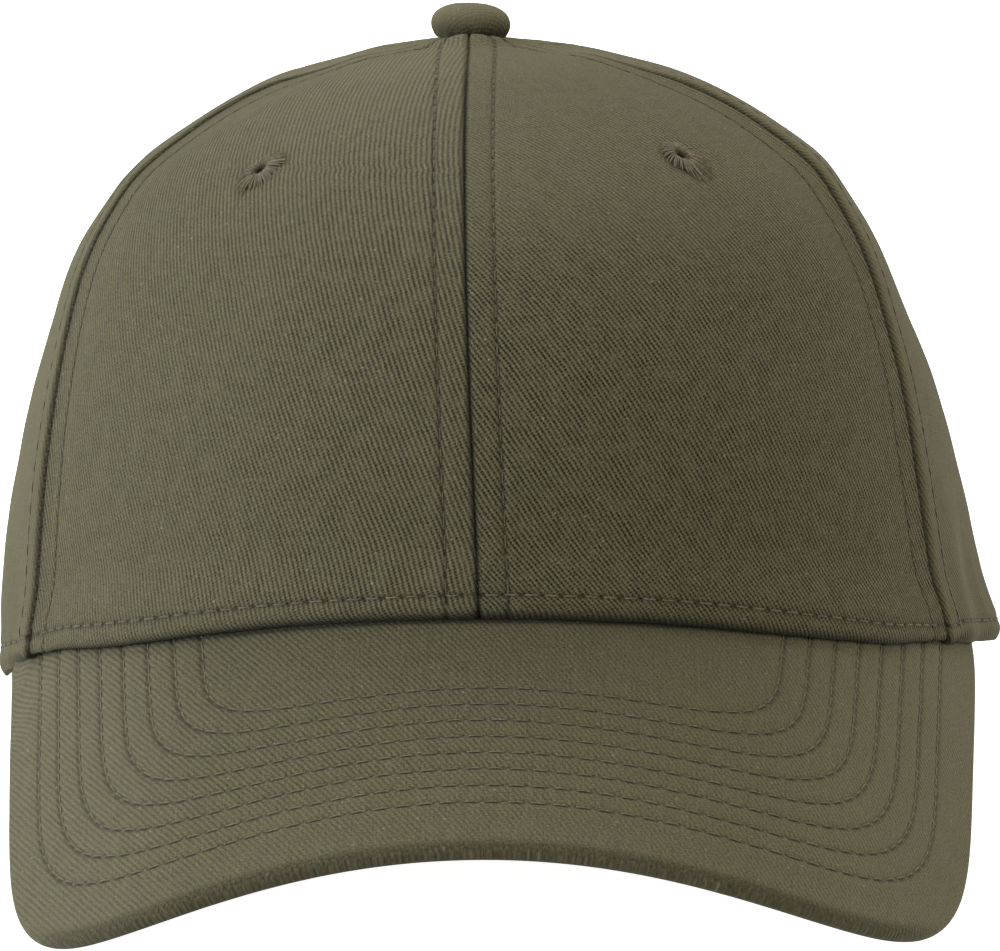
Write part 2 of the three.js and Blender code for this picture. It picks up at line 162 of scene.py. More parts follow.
class Bench:
    """The few modelling steps that every piece goes through."""

    @staticmethod
    def clear() -> None:
        """Deselect everything, in object mode."""
        if bpy.context.object and bpy.context.object.mode != "OBJECT":
            bpy.ops.object.mode_set(mode="OBJECT")
        bpy.ops.object.select_all(action="DESELECT")

    @staticmethod
    def pick(piece: Piece) -> None:
        """Make one object the only selected and active one.

        Args:
            piece: the object.
        """
        Bench.clear()
        piece.select_set(True)
        bpy.context.view_layer.objects.active = piece

    @staticmethod
    def grid(name: str, columns: int, rows: int) -> tuple[Piece, Array, Array]:
        """Add a grid to be shaped.

        Args:
            name: name of the piece.
            columns: faces across.
            rows: faces up.

        Returns:
            The object, and the share from 0 to 1 across and up of each vertex.
        """
        Bench.clear()
        bpy.ops.mesh.primitive_grid_add(x_subdivisions=columns, y_subdivisions=rows, size=2)
        piece = bpy.context.object
        piece.name = piece.data.name = name
        flat = Bench.points(piece)
        return piece, (flat[:, 0] + 1) / 2, (flat[:, 1] + 1) / 2

    @staticmethod
    def points(piece: Piece) -> Array:
        """Places of a mesh's vertices.

        Args:
            piece: the mesh object.

        Returns:
            One row of x, y and z per vertex.
        """
        values = np.zeros(len(piece.data.vertices) * 3)
        piece.data.vertices.foreach_get("co", values)
        return values.reshape(-1, 3)

    @staticmethod
    def shape(piece: Piece, points: Array) -> None:
        """Move a mesh's vertices to new places of the crown's frame."""
        piece.data.vertices.foreach_set("co", np.asarray(POSE.place(points), np.float32).ravel())
        piece.data.update()

    @staticmethod
    def select(piece: Piece, chosen: Array) -> None:
        """Select some vertices of a mesh and enter edit mode.

        Args:
            piece: the object.
            chosen: whether each vertex is selected.
        """
        Bench.pick(piece)
        mesh = piece.data
        for parts, values in ((mesh.polygons, np.zeros(len(mesh.polygons), bool)),
                              (mesh.edges, np.zeros(len(mesh.edges), bool)), (mesh.vertices, chosen)):
            parts.foreach_set("select", values)
        bpy.ops.object.mode_set(mode="EDIT")
        bpy.ops.mesh.select_mode(type="VERT")

    @staticmethod
    def cut_out(piece: Piece, chosen: Array) -> None:
        """Delete some vertices of a mesh with their faces.

        Args:
            piece: the mesh object.
            chosen: true for each vertex that goes.
        """
        Bench.select(piece, chosen)
        bpy.ops.mesh.delete(type="VERT")
        bpy.ops.object.mode_set(mode="OBJECT")

    @staticmethod
    def weld(piece: Piece, distance: float) -> None:
        """Merge vertices that meet and turn the faces outward.

        Args:
            piece: the mesh object.
            distance: how near two vertices are to count as one.
        """
        Bench.select(piece, np.ones(len(piece.data.vertices), bool))
        bpy.ops.mesh.remove_doubles(threshold=distance)
        bpy.ops.mesh.normals_make_consistent(inside=False)
        bpy.ops.object.mode_set(mode="OBJECT")

    @staticmethod
    def wall(piece: Piece, thickness: float) -> None:
        """Give a sheet its thickness, inward from the face that shows.

        Args:
            piece: the sheet.
            thickness: thickness, mm.
        """
        Bench.pick(piece)
        bpy.ops.object.modifier_add(type="SOLIDIFY")
        solidify = piece.modifiers[-1]
        solidify.thickness = thickness * MILLIMETRE
        solidify.offset = -1.0
        bpy.ops.object.modifier_apply(modifier=solidify.name)

    @staticmethod
    def smooth(piece: Piece, angle: float = 60.0) -> None:
        """Shade smooth, with edges kept where faces meet more steeply than angle."""
        Bench.pick(piece)
        bpy.ops.object.shade_smooth_by_angle(angle=np.radians(angle))

    @staticmethod
    def cloth_map(piece: Piece, places: Array) -> None:
        """Store each vertex's place on the flat cloth as the UV map that the weave reads.

        Args:
            piece: the object.
            places: places on the flat cloth, mm.
        """
        mesh = piece.data
        while mesh.uv_layers:
            mesh.uv_layers.remove(mesh.uv_layers[0])
        corner = np.zeros(len(mesh.loops), np.int32)
        mesh.loops.foreach_get("vertex_index", corner)
        layer = mesh.uv_layers.new(name="cloth", do_init=False)
        layer.uv.foreach_set("vector", np.asarray(places, np.float32)[corner].ravel())

    @staticmethod
    def mark(piece: Piece, name: str, *values: Array | float) -> None:
        """Store three numbers a vertex for the cloth's material.

        Args:
            piece: the object.
            name: "stitching", "hem_and_painted_shade" and "quilting" hold the distance from a sewn line, the
            length along it in stitches, and a third number: painted shade in creases, folds, under the hem
            and at the button's base for the first two, the last row for quilting. "clarity" holds how clear
            the weave is, which also paints some shade and light as a clearer weave is darker, how strongly
            the painted shadows beside the sewn rows show, and how much painted sheen lightens the cloth.
            values: the three numbers.
        """
        layer = piece.data.attributes.new(name, "FLOAT_VECTOR", "POINT")
        rows = np.stack(np.broadcast_arrays(*values, np.zeros(len(piece.data.vertices)))[:3], -1)
        layer.data.foreach_set("vector", rows.astype(np.float32).ravel())


# Crown


class Seam(Enum):
    """Seams of the crown: angle round the rim from the centre front, angle at the top, and bow."""

    CENTRE_FRONT = (0.0, 0.0, 0.0)
    FRONT_SIDE = (62.5, 73.5, -5.5)
    SIDE_BACK = (121.0, 126.0, 0.0)
    CENTRE_BACK = (180.0, 180.0, 0.0)

    def angle(self, level: Array) -> Array:
        """Angle of the seam at a level."""
        rim, top, bow = self.value
        return rim + (top - rim) * level + bow * 4 * level * (1 - level)


@dataclass(frozen=True)
class Fold:
    """Upright fold above the rim: place and width in degrees, reach and depth in mm."""

    angle: float
    width: float
    height: float
    depth: float


@dataclass(frozen=True)
class Bulge:
    """Broad bulge or dent: angle and width in degrees, level and spread from 0 to 1, depth in mm."""

    angle: float
    width: float
    level: float
    spread: float
    depth: float


FOLDS = tuple(Fold(*row) for row in (
    (68.5, 2.6, 36, 0.8), (75.5, 2.8, 32, -0.9), (84.0, 4.0, 34, 0.9), (-70.0, 3.0, 24, -0.5),
    (-77.5, 3.4, 30, 0.6), (71.8, 0.9, 20, -0.28), (79.0, 1.1, 24, 0.22), (88.5, 1.4, 22, -0.35),
    (-66.5, 0.9, 14, 0.16), (-73.5, 1.1, 20, 0.24), (-84.0, 1.7, 22, -0.3), (104.0, 2.4, 26, -0.35),
    (113.0, 1.8, 18, 0.3), (-101.0, 2.2, 24, 0.3), (136.0, 2.6, 22, -0.3), (152.0, 3.0, 30, 0.3),
    (-131.0, 2.4, 20, -0.25), (-148.0, 3.2, 28, 0.3), (-166.0, 2.2, 20, -0.25), (169.0, 2.0, 18, -0.2),
))
BULGES = tuple(Bulge(*row) for row in (
    (-88, 30, 0.28, 0.17, 1.3), (88, 30, 0.28, 0.17, 0.6), (-85, 45, 0.968, 0.019, -0.9),
    (-85, 45, 0.992, 0.006, -0.5), (88, 30, 0.56, 0.10, -0.9), (-88, 30, 0.70, 0.10, 1.1),
    (-86, 34, 0.80, 0.05, 0.9), (86, 34, 0.80, 0.045, 0.8), (0, 60, 0.998, 0.0013, 1.8),
    (85, 45, 0.965, 0.022, -0.5), (85, 45, 0.991, 0.006, -0.8),
))


def bulging(angle: Array, level: Array) -> Array:
    """How far the cloth stands out of the plain crown, mm."""
    return sum(bulge.depth * bell(angle - bulge.angle, bulge.width) * bell(level - bulge.level, bulge.spread)
               for bulge in BULGES)


@dataclass(frozen=True)
class PeakBoard:
    """The board of the peak, bent about one axis that slopes down to the front, with drooping tips.

    A place of its flat pattern is a length across, to the right, and a length forward of the rim.
    """

    radius: float = 100.0
    slope: float = np.radians(23.0)
    root_level: float = 23.5
    rim_reach: float = 105.0
    droops: tuple[float, float] = (3.1, 1.4)
    left_tip: float = 2.4

    def droop(self, across: Array, forward: Array) -> Array:
        """How far the tips droop below the bent board.

        Args:
            across, forward: place on the flat pattern.

        Returns:
            Depth, mm.
        """
        tip = self.left_tip * ramp(-across, 86, 9) * ramp(-forward, 42, 14)
        droop = np.where(across < 0, *self.droops)
        return droop * ramp(np.abs(across), 75, 19) * ramp(-forward, 15, 25) + tip

    def point(self, across: Array, forward: Array, below: Array) -> Array:
        """Place of a point of the flat pattern.

        Args:
            across, forward: place on the flat pattern.
            below: depth below the upper face.

        Returns:
            Points of the crown's frame.
        """
        bend, radius = across / self.radius, self.radius - below
        drop = self.radius - radius * np.cos(bend)
        sine, cosine = np.sin(self.slope), np.cos(self.slope)
        return np.stack([
            radius * np.sin(bend),
            -self.rim_reach - forward * cosine + drop * sine,
            self.root_level - forward * sine - drop * cosine - self.droop(across, forward),
        ], -1)

    def normal(self, across: Array) -> Array:
        """Upward direction of the upper face."""
        bend = across / self.radius
        return np.stack([np.sin(bend), -np.cos(bend) * np.sin(self.slope), np.cos(bend) * np.cos(self.slope)], -1)

    def flat(self, x: Array, y: Array) -> tuple[Array, Array]:
        """Flat pattern under a point of the plan.

        Args:
            x, y: place on the plan.

        Returns:
            Lengths across and forward.
        """
        bend = np.arcsin(np.clip(x / self.radius, -0.98, 0.98))
        drop = self.radius * (1 - np.cos(bend))
        return self.radius * bend, (-self.rim_reach - y + drop * np.sin(self.slope)) / np.cos(self.slope)

    def top(self, x: Array, y: Array) -> Array:
        """Height of the upper face over a point of the plan."""
        return self.point(*self.flat(x, y), 0.0)[..., 2]


@dataclass(frozen=True)
class Crown:
    """The shape that the six panels share.

    A shoulder is its fullness, its angle and its spread. A profile is how much the crown tapers and
    how square it is. Pairs are left and right.
    """

    height: float = 106.0
    half_width: float = 86.0
    front_reach: float = 105.0
    back_reach: float = 103.0
    top_set_back: float = 4.0
    top_lean: float = -3.0
    shoulder: tuple[float, float, float] = (0.06, 62.0, 22.0)
    right_shoulder: tuple[float, float, float] = (0.05, 80.0, 38.0)
    puff: float = 0.7
    front: tuple[float, float] = (0.0, 3.2)
    side: tuple[float, float] = (0.24, 4.85)
    back: tuple[float, float] = (0.16, 2.2)
    side_rim_level: float = 0.5
    rim_rise: tuple[float, float] = (-2.4, 1.5)
    rim_rise_angle: float = 92.0
    rim_rise_spread: float = 30.0
    rim_drop_angle: float = 67.0
    rim_drop_span: float = 19.0
    peak_tip_angle: float = 74.0
    centre_seam_shift: float = -0.35
    clearance: float = 0.42
    rest_half_angle: float = 25.0
    top_hole: float = 2.6
    board: PeakBoard = PeakBoard()

    def rim_height(self, angle: Array, x: Array, y: Array) -> Array:
        """Height of the rim.

        Args:
            angle: angle round the crown.
            x, y: plan point where the cloth ends.

        Returns:
            Height, over the peak in front and along the side rim elsewhere.
        """
        turn = np.abs(angle)
        rise = np.where(angle < 0, *self.rim_rise) * bell(turn - self.rim_rise_angle, self.rim_rise_spread)
        share = ramp(turn, self.rim_drop_angle, self.rim_drop_span)
        return (self.board.top(x, y) + self.clearance) * (1 - share) + (self.side_rim_level + rise) * share

    def rest_level(self, y: Array) -> Array:
        """Height of the floor in the crown's frame."""
        contact = self.back_reach * np.cos(np.radians(self.rest_half_angle))
        return self.side_rim_level + (y - contact) * np.tan(-POSE.tilt)

    def surface(self, angle: Array, level: Array) -> Array:
        """Plain crown, without puff or folds.

        Args:
            angle, level: place on the crown.

        Returns:
            Points of the crown's frame.
        """
        angle, level = np.broadcast_arrays(np.asarray(angle, float), np.asarray(level, float))
        turn = np.radians(angle)
        sine, ahead = np.sin(turn) ** 2, np.cos(turn) > 0
        end_taper, end_square = (np.where(ahead, *ends) for ends in zip(self.front, self.back))
        (full, at, spread), (right_full, right_at, right_spread) = self.shoulder, self.right_shoulder
        shoulders = full * bell(np.abs(angle) - at, spread)
        right = right_full * bell(angle - right_at, right_spread)
        taper = self.side[0] * sine + end_taper * (1 - sine) - shoulders - right * level * level
        squareness = self.side[1] * sine + end_square * (1 - sine)
        share = (1 - taper * level) * np.sqrt(np.maximum(0, 1 - level ** squareness))
        rim_x = self.half_width * np.sin(turn)
        rim_y = -np.where(ahead, self.front_reach, self.back_reach) * np.cos(turn)
        base = self.rim_height(angle, rim_x, rim_y)
        return np.stack([rim_x * share + self.top_lean * level, rim_y * share + self.top_set_back * level * level,
                         base + (self.height - base) * level], -1)

    def across(self, angle: Array, level: Array, step: float) -> Array:
        """Vector round the plain crown, from step degrees before an angle to step degrees after it."""
        return self.surface(angle + step, level) - self.surface(angle - step, level)

    def normal(self, angle: Array, level: Array) -> Array:
        """Outward direction of the plain crown.

        Args:
            angle, level: place on the crown.

        Returns:
            Directions of length 1.
        """
        low = np.minimum(level, 0.9985)
        up = self.surface(angle, low + 0.0008) - self.surface(angle, np.maximum(0, low - 0.0008))
        return unit(np.cross(self.across(angle, low, 0.2), up))

    def per_degree(self, angle: Array, level: Array) -> Array:
        """Length of one degree round the crown at a level, mm."""
        return np.linalg.norm(self.across(angle, level, 0.5), axis=-1)

    def per_level(self, angle: Array) -> Array:
        """Length up the crown from the rim for one unit of level, mm."""
        step = self.surface(angle, 0.02) - self.surface(angle, 0.0)
        return np.linalg.norm(step, axis=-1) / 0.02

    def row_level(self, share: Array) -> Array:
        """Level of an even share of the way up the cloth, up to the hole under the button."""
        top = 1 - self.top_hole / (self.half_width * 1.75)
        return 1 - (1 - share * top) ** 2


CROWN = Crown()


@dataclass(frozen=True)
class SewnEdge:
    """How cloth lies beside a sewn edge, from the edge inward, mm."""

    roll: float
    roll_width: float
    puff: float
    groove: float = 0.13
    groove_width: float = 0.45
    pucker: float = 0.03
    pitch: float = 3.45

    def lift(self, inward: Array, along: Array, row: float) -> Array:
        """Height over the plain cloth.

        Args:
            inward: distance from the sewn edge.
            along: length along the edge.
            row: distance of the stitches from the edge.

        Returns:
            Height, mm.
        """
        rolled = -self.roll * np.clip(1 - inward / self.roll_width, 0, 1) ** 2
        padded = self.puff * ramp(inward, 0, 1.4 * self.roll_width) * fade(inward - row, -1.3, 1.3)
        sunk = -self.groove * bell(inward - row, self.groove_width)
        beyond = 0.4 * self.puff * bell(inward - row - 1.3, 0.9)
        wave = np.cos(FULL_TURN * along / self.pitch)
        fine = self.pucker * wave * bell(inward - row, 2.2)
        return rolled + padded + sunk * (1 + 0.25 * wave) + beyond + fine


FLAT_SEAM = SewnEdge(roll=0.65, roll_width=0.85, puff=0.12)
CORNER_SEAM = SewnEdge(roll=0.55, roll_width=0.75, puff=0.10)


@dataclass(frozen=True)
class FrontCorner:
    """The ridge where a stiff front panel meets the side panel, mm.

    The seam stands out near the rim and less so up to the fading level. The front panel is hollow
    beside it, and the side panel's turned strip is padded up to its stitches.
    """

    ridge: float
    fading: float
    hollow: float
    high_hollow: float
    strip: float

    def lift(self, inward: Array, level: Array, front: bool) -> Array:
        """Height of the cloth beside the seam.

        Args:
            inward: distance from the seam.
            level: level on the crown.
            front: whether the cloth is the front panel's.

        Returns:
            Height, mm.
        """
        ridge = self.ridge * fade(level, 0, self.fading)
        hollow = self.hollow + self.high_hollow * ramp(level, 0.45, 0.35)
        if front:
            out = ridge * np.exp(-inward / 8.0) - hollow * (1 - np.exp(-inward / 3.0)) * np.exp(-inward / 14.0)
        else:
            out = (ridge + self.strip * ramp(inward, 0, 1.6)) * fade(inward, 5.0, 2.2)
        return out * fade(level, 0.93, 0.06)


CORNERS = {-1: FrontCorner(1.0, 0.66, 1.3, 0.0, 0.35), 1: FrontCorner(0.2, 0.9, 1.3, 0.8, 0.5)}

# The rim at some angles: how far it stands out, and how far it hangs down
RIM_ANGLES, RIM_OUT, RIM_HANG = np.array([
    (-180, 0.0, 0.0), (-95, -0.3, 0.2), (-86, -0.3, 0.9), (-80, -0.3, 0.85), (-75, -0.2, -0.1), (-70, 0.2, -1.5),
    (-66, 0.4, -1.25), (-63, 0.6, -0.7), (-58, 1.2, 0.2), (-50, 1.9, 0.0), (0, 1.9, 0.0), (34, 2.6, 0.0),
    (46, 2.4, 0.0), (58, 1.9, 0.0), (64, 1.0, -0.3), (70, 1.1, 0.6), (76, 1.2, 0.1), (84, 1.3, 0.0),
    (89, 0.6, 1.1), (96, 0.0, 2.5), (104, 0.1, 1.5), (120, 0.1, 0.2), (180, 0.0, 0.0),
]).T


@dataclass(frozen=True)
class Hem:
    """The turned-up rim, mm: its stitches and how its folded edge rolls under."""

    row: float = 4.2
    right_row: float = 3.5
    over_peak: float = 0.15
    edge: SewnEdge = SewnEdge(roll=1.6, roll_width=2.8, puff=0.2, groove_width=0.5)
    side_edge: SewnEdge = SewnEdge(roll=0.7, roll_width=1.8, puff=0.2, groove_width=0.5)

    @staticmethod
    def along_rim(angle: Array, values: Array) -> Array:
        """A column of the rim's table, eased between its angles.

        Args:
            angle: angle round the crown.
            values: the column.

        Returns:
            One value for each angle.
        """
        at = np.clip(np.searchsorted(RIM_ANGLES, angle) - 1, 0, len(RIM_ANGLES) - 2)
        share = ramp(angle, RIM_ANGLES[at], RIM_ANGLES[at + 1] - RIM_ANGLES[at])
        return values[at] * (1 - share) + values[at + 1] * share

    def row_at(self, angle: Array) -> Array:
        """Distance of the stitches from the rim at an angle."""
        return self.row + (self.right_row - self.row) * ramp(angle, 15, 45)

    def lift(self, rise: Array, angle: Array) -> Array:
        """Height over the plain cloth.

        Args:
            rise: distance from the rim.
            angle: angle round the crown.

        Returns:
            Height, mm.
        """
        out = self.along_rim(angle, RIM_OUT) * fade(rise, 2, 11)
        front, beside = (edge.lift(rise, round_rim(angle), self.row_at(angle))
                         for edge in (self.edge, self.side_edge))
        side = ramp(np.abs(angle), 62, 8)
        return out + front * (1 - side) + beside * side

    def drop(self, points: Array, angle: Array, rise: Array) -> Array:
        """How far down the cloth hangs, so that the rim meets the peak.

        Args:
            points: the cloth's points.
            angle: angle round the crown.
            rise: distance from the rim.

        Returns:
            Depth, mm.
        """
        board, plain = CROWN.board, CROWN.surface(angle, 0.0)
        onto = board.top(plain[..., 0], plain[..., 1]) - board.top(points[..., 0], points[..., 1])
        over = (onto + CROWN.clearance - self.over_peak) * fade(np.abs(angle), 60, 8)
        return (over + self.along_rim(angle, RIM_HANG)) * fade(rise, 0, 9)

    def fold_shade(self, rise: Array, angle: Array) -> Array:
        """How dark the painted shade is where the cloth turns under over the peak."""
        beside = (1 - 0.7 * ramp(angle, 64, 6)) * (1 - 0.85 * ramp(-angle, 67, 8))
        return 0.95 * fade(rise, 0.5, 2.1) * beside


HEM = Hem()


class ThreadStock:
    """One short thread, modelled once, from which every stitch is copied."""

    def __init__(self, rings: int = 6, sides: int = 6) -> None:
        """Model the thread.

        Args:
            rings: steps along it.
            sides: faces round it.
        """
        piece, along, round_it = Bench.grid("thread_stock", rings, sides)
        turn = FULL_TURN * round_it
        swell = np.sqrt(np.clip(1 - (2 * along - 1) ** 6, 0, 1))
        local = np.stack([along * rings, np.cos(turn) * swell, np.sin(turn) * swell], -1)
        piece.data.vertices.foreach_set("co", local.astype(np.float32).ravel())
        Bench.weld(piece, 1e-4)
        points, mesh = Bench.points(piece), piece.data
        self.rings = rings
        self.ring = np.clip(np.round(points[:, 0]).astype(int), 0, rings)
        self.across, self.over = points[:, 1], points[:, 2]
        self.faces = [list(face.vertices) for face in mesh.polygons]
        bpy.data.objects.remove(piece)
        bpy.data.meshes.remove(mesh)

    def lay(self, name: str, paths: Array, normals: Array, radius: Array) -> Piece:
        """Copy the thread along many paths and join the copies.

        Args:
            name: name of the piece.
            paths: threads x (rings + 1) x 3, mm, in the crown's frame.
            normals: upward directions, in the same layout.
            radius: half thickness of each thread, mm.

        Returns:
            The object, in metres.
        """
        aside = unit(np.cross(np.gradient(paths, axis=1), normals))
        thick = np.asarray(radius)[:, None, None]
        points = (paths[:, self.ring] + aside[:, self.ring] * self.across[None, :, None] * thick
                  + normals[:, self.ring] * self.over[None, :, None] * thick * THREAD_FLATNESS)
        starts = range(0, points.shape[0] * points.shape[1], points.shape[1])
        faces = [[corner + start for corner in face] for start in starts for face in self.faces]
        mesh = bpy.data.meshes.new(name)
        mesh.from_pydata(POSE.place(points).reshape(-1, 3).tolist(), [], faces)
        mesh.update()
        piece = bpy.data.objects.new(name, mesh)
        bpy.context.scene.collection.objects.link(piece)
        Bench.smooth(piece, 80.0)
        return piece


# Finishes


class Value:
    """A socket of a recipe, which can be added, subtracted and multiplied."""

    def __init__(self, recipe: "Recipe", socket: bpy.types.NodeSocket) -> None:
        """Keep the socket with its recipe."""
        self.recipe, self.socket = recipe, socket

    def __add__(self, other: "Value | float") -> "Value":
        """Sum."""
        return self.recipe.math("ADD", self, other)

    __radd__ = __add__

    def __mul__(self, other: "Value | float") -> "Value":
        """Product."""
        return self.recipe.math("MULTIPLY", self, other)

    def __sub__(self, other: "Value | float") -> "Value":
        """Difference."""
        return self.recipe.math("SUBTRACT", self, other)

    def __rsub__(self, other: float) -> "Value":
        """Difference from a number."""
        return self.recipe.math("SUBTRACT", other, self)

    def outputs(self, *names: int | str) -> list["Value"]:
        """Some outputs of the same node."""
        return [Value(self.recipe, self.socket.node.outputs[name]) for name in names]


class Recipe:
    """A material under construction, with short names for the nodes it needs."""

    def __init__(self, name: str) -> None:
        """Start an empty material.

        Args:
            name: name of the material.
        """
        self.material = bpy.data.materials.new(name)
        self.material.use_nodes = True
        self.tree = self.material.node_tree
        self.tree.nodes.clear()

    def make(self, kind: str, values: Sequence[object] | dict[int | str, object] = (), out: int | str = 0,
             **settings: str) -> Value:
        """Add a node.

        Args:
            kind: type of the node.
            values: its inputs in order, or by name: numbers, colours or values of the recipe.
            out: name or number of the output that is wanted.
            settings: other settings of the node.

        Returns:
            The output.
        """
        made = self.tree.nodes.new(kind)
        for key, value in settings.items():
            setattr(made, key, value)
        for key, value in values.items() if isinstance(values, dict) else enumerate(values):
            if isinstance(value, Value):
                self.tree.links.new(value.socket, made.inputs[key])
            else:
                made.inputs[key].default_value = (*value, 1.0) if isinstance(value, tuple) else value
        return Value(self, made.outputs[out] if made.outputs else made.inputs[0])

    def math(self, operation: str, *values: Value | float) -> Value:
        """Result of a Math node."""
        return self.make("ShaderNodeMath", values, operation=operation)

    def wave(self, turns: Value) -> Value:
        """Wave from -1 to 1, with its crest at whole numbers of turns."""
        return self.math("COSINE", turns * FULL_TURN)

    def peak_at(self, offset: Value, spread: float) -> Value:
        """Rounded bump of height 1 at offset 0."""
        near = self.math("DIVIDE", offset, spread)
        return self.math("EXPONENT", near * near * -1.0)

    def span(self, value: Value, *ranges: float) -> Value:
        """Value mapped from the first range to the second, and held inside it."""
        return self.make("ShaderNodeMapRange", (value, *ranges))

    def parts(self, vector: Value) -> list[Value]:
        """Components of a vector."""
        return self.make("ShaderNodeSeparateXYZ", (vector,)).outputs(0, 1, 2)

    def vector(self, *parts: Value | float) -> Value:
        """Vector of up to three components."""
        return self.make("ShaderNodeCombineXYZ", parts)

    def read(self, name: str) -> list[Value]:
        """The three numbers that the cloth holds under a name."""
        return self.parts(self.make("ShaderNodeAttribute", out="Vector", attribute_name=name))

    def noise(self, place: Value, scale: float, detail: float = 2.0, rough: float = 0.5) -> Value:
        """Noise from 0 to 1 at a place."""
        values = {"Vector": place, "Scale": scale, "Detail": detail, "Roughness": rough}
        return self.make("ShaderNodeTexNoise", values)

    def mix(self, share: Value | float, first: Value | Colour, second: Value | Colour, blend: str = "MIX") -> Value:
        """Blend of two colours."""
        return self.make("ShaderNodeMix", {0: share, 6: first, 7: second}, 2, data_type="RGBA", blend_type=blend)

    def relief(self, height: Value, distance: float, strength: float = 1.0, **before: Value) -> Value:
        """Normal of a surface raised by a height of 0 to 1 times distance, mm."""
        values = {"Strength": strength, "Distance": distance * MILLIMETRE, "Height": height}
        return self.make("ShaderNodeBump", {**values, **before})

    def finish(self, values: dict[str, object]) -> Material:
        """Close the material with a shader of these inputs."""
        self.make("ShaderNodeOutputMaterial", {"Surface": self.make("ShaderNodeBsdfPrincipled", values)})
        return self.material


@dataclass(frozen=True)
class TwillCloth:
    """Washed cotton twill: slanted ridges of warp floats with dotted dark gaps between them.

    The weave reads the piece's own cloth map in mm: X along the weft, Y along the warp.
    """

    name: str
    contrast: float
    depth: float
    period: float = 0.83
    slant: float = 115.0
    float_step: float = 0.54
    ridge: Colour = (0.126, 0.114, 0.066)
    gap: Colour = (0.012, 0.010, 0.0045)
    green: Colour = (0.46, 0.52, 0.44)
    brown: Colour = (0.55, 0.49, 0.45)
    # Colour of the painted sheen, a pale veil laid on the cloth where light grazes it.
    pale: Colour = (0.24, 0.225, 0.155)
    lint: Colour = (0.42, 0.40, 0.30)
    # Dark colour that all the painted shade mixes towards: thread shadows, needle holes, creases and folds.
    crease: Colour = (0.008, 0.007, 0.003)
    drift: float = 0.45
    fuzz: float = 0.15
    dots: float = 0.30
    sewn: tuple[str, ...] = ("stitching", "hem_and_painted_shade")
    line_shade: float = 0.25
    hole_shade: float = 0.75

    def material(self) -> Material:
        """Build the material.

        Returns:
            The material.
        """
        recipe = Recipe(self.name)
        place = recipe.make("ShaderNodeUVMap", uv_map="cloth")
        across, along, _ = recipe.parts(place)
        clear, shown, painted_sheen = recipe.read("clarity")
        warp_line = recipe.noise(recipe.vector(across * 3.2, along * 0.09), 1.0, 1.0)
        weft_line = recipe.noise(recipe.vector(across * 0.12, along * 2.1), 1.0, 1.0)
        dark, height = self._weave(recipe, place, across, along)
        patchy = recipe.span(recipe.noise(place, 0.33, 3.0, 0.6), 0.3, 0.7, 0.55, 1.25)
        grit = recipe.span(recipe.noise(place, 2.1, 2.0), 0.3, 0.7, 0.6, 1.4)
        # The clarity scales the weave's dark gaps, so a clearer weave also paints shade and a fainter one paints
        # light.
        shade = dark * self.contrast * (patchy * grit) * clear
        wear = recipe.noise(place, 0.75, 3.0, 0.6)
        colour = recipe.mix(recipe.math("MINIMUM", shade, 1.0), self.ridge, self.gap)
        dyed = recipe.span(recipe.noise(place, 0.11, 3.0), 0.35, 0.65, 0.0, 0.5)
        colour = recipe.mix(dyed, colour, self.green, "SOFT_LIGHT")
        colour = recipe.mix(recipe.span(wear, 0.4, 0.75, 0.0, 0.45), colour, self.brown, "SOFT_LIGHT")
        grain = recipe.span(recipe.noise(place, 2.4, 2.0, 0.7), 0.25, 0.75, -self.fuzz, self.fuzz)
        yarn = (recipe.span(warp_line, 0.25, 0.75, -0.11, 0.11) + recipe.span(weft_line, 0.25, 0.75, -0.05, 0.05)
                + grain + 1.0)
        hue = recipe.span(recipe.noise(place, 0.8, 2.0, 0.6), 0.25, 0.75, -0.07, 0.07)
        colour = recipe.mix(1.0, colour, recipe.vector(yarn + hue, yarn, yarn), "MULTIPLY")
        # Painted sheen: the cloth is mixed towards the pale colour by the clarity's third number.
        colour = self._lint(recipe, place, recipe.mix(painted_sheen, colour, self.pale))
        colour, crease = self._sewing(recipe, place, colour, shown)
        woven = recipe.relief(height + warp_line * 0.35, self.depth)
        return recipe.finish({
            "Base Color": colour, "Roughness": recipe.span(wear, 0.2, 0.8, 0.84, 0.96),
            "Normal": recipe.relief(crease, 0.14, Normal=woven), "Specular IOR Level": 0.15,
            "Sheen Weight": 0.06, "Sheen Roughness": 0.5, "Sheen Tint": (0.80, 0.82, 0.66),
        })

    def _weave(self, recipe: Recipe, place: Value, across: Value, along: Value) -> tuple[Value, Value]:
        """The ridges and gaps of the twill.

        Args:
            recipe: the material under construction.
            place: place on the flat cloth.
            across, along: its two components.

        Returns:
            How dark the gaps are, and the height of the weave.
        """
        drift = (recipe.noise(place, 0.22, 2.0) - 0.5) * self.drift
        shake = (recipe.noise(place, 1.9, 1.0) - 0.5) * 0.32
        sine, cosine = (float(part(np.radians(self.slant))) for part in (np.sin, np.cos))
        turns = across * (sine / self.period) + along * (-cosine / self.period) + drift + shake
        steps = across * (cosine / self.float_step) + along * (sine / self.float_step) + shake
        ridge = recipe.math("MULTIPLY_ADD", recipe.wave(turns), 0.5, 0.5)
        dots = recipe.math("MULTIPLY_ADD", recipe.wave(steps), self.dots, 1.02 - self.dots * 0.9)
        dark = recipe.math("POWER", 1.0 - ridge, 1.45) * dots
        return dark, dark * -0.9 + recipe.wave(steps + turns * 2.0) * 0.1

    def _lint(self, recipe: Recipe, place: Value, colour: Value) -> Value:
        """Strew rare pale specks of lint.

        Args:
            recipe: the material under construction.
            place: place on the flat cloth.
            colour: the cloth's colour.

        Returns:
            The colour with the lint.
        """
        cells = recipe.make("ShaderNodeTexVoronoi", {"Vector": place, "Scale": 0.42})
        distance, number = cells.outputs("Distance", "Color")
        chosen = recipe.span(recipe.parts(number)[0], 0.7, 0.72, 0.0, 0.5)
        return recipe.mix(recipe.peak_at(distance, 0.075) * chosen, colour, self.lint)

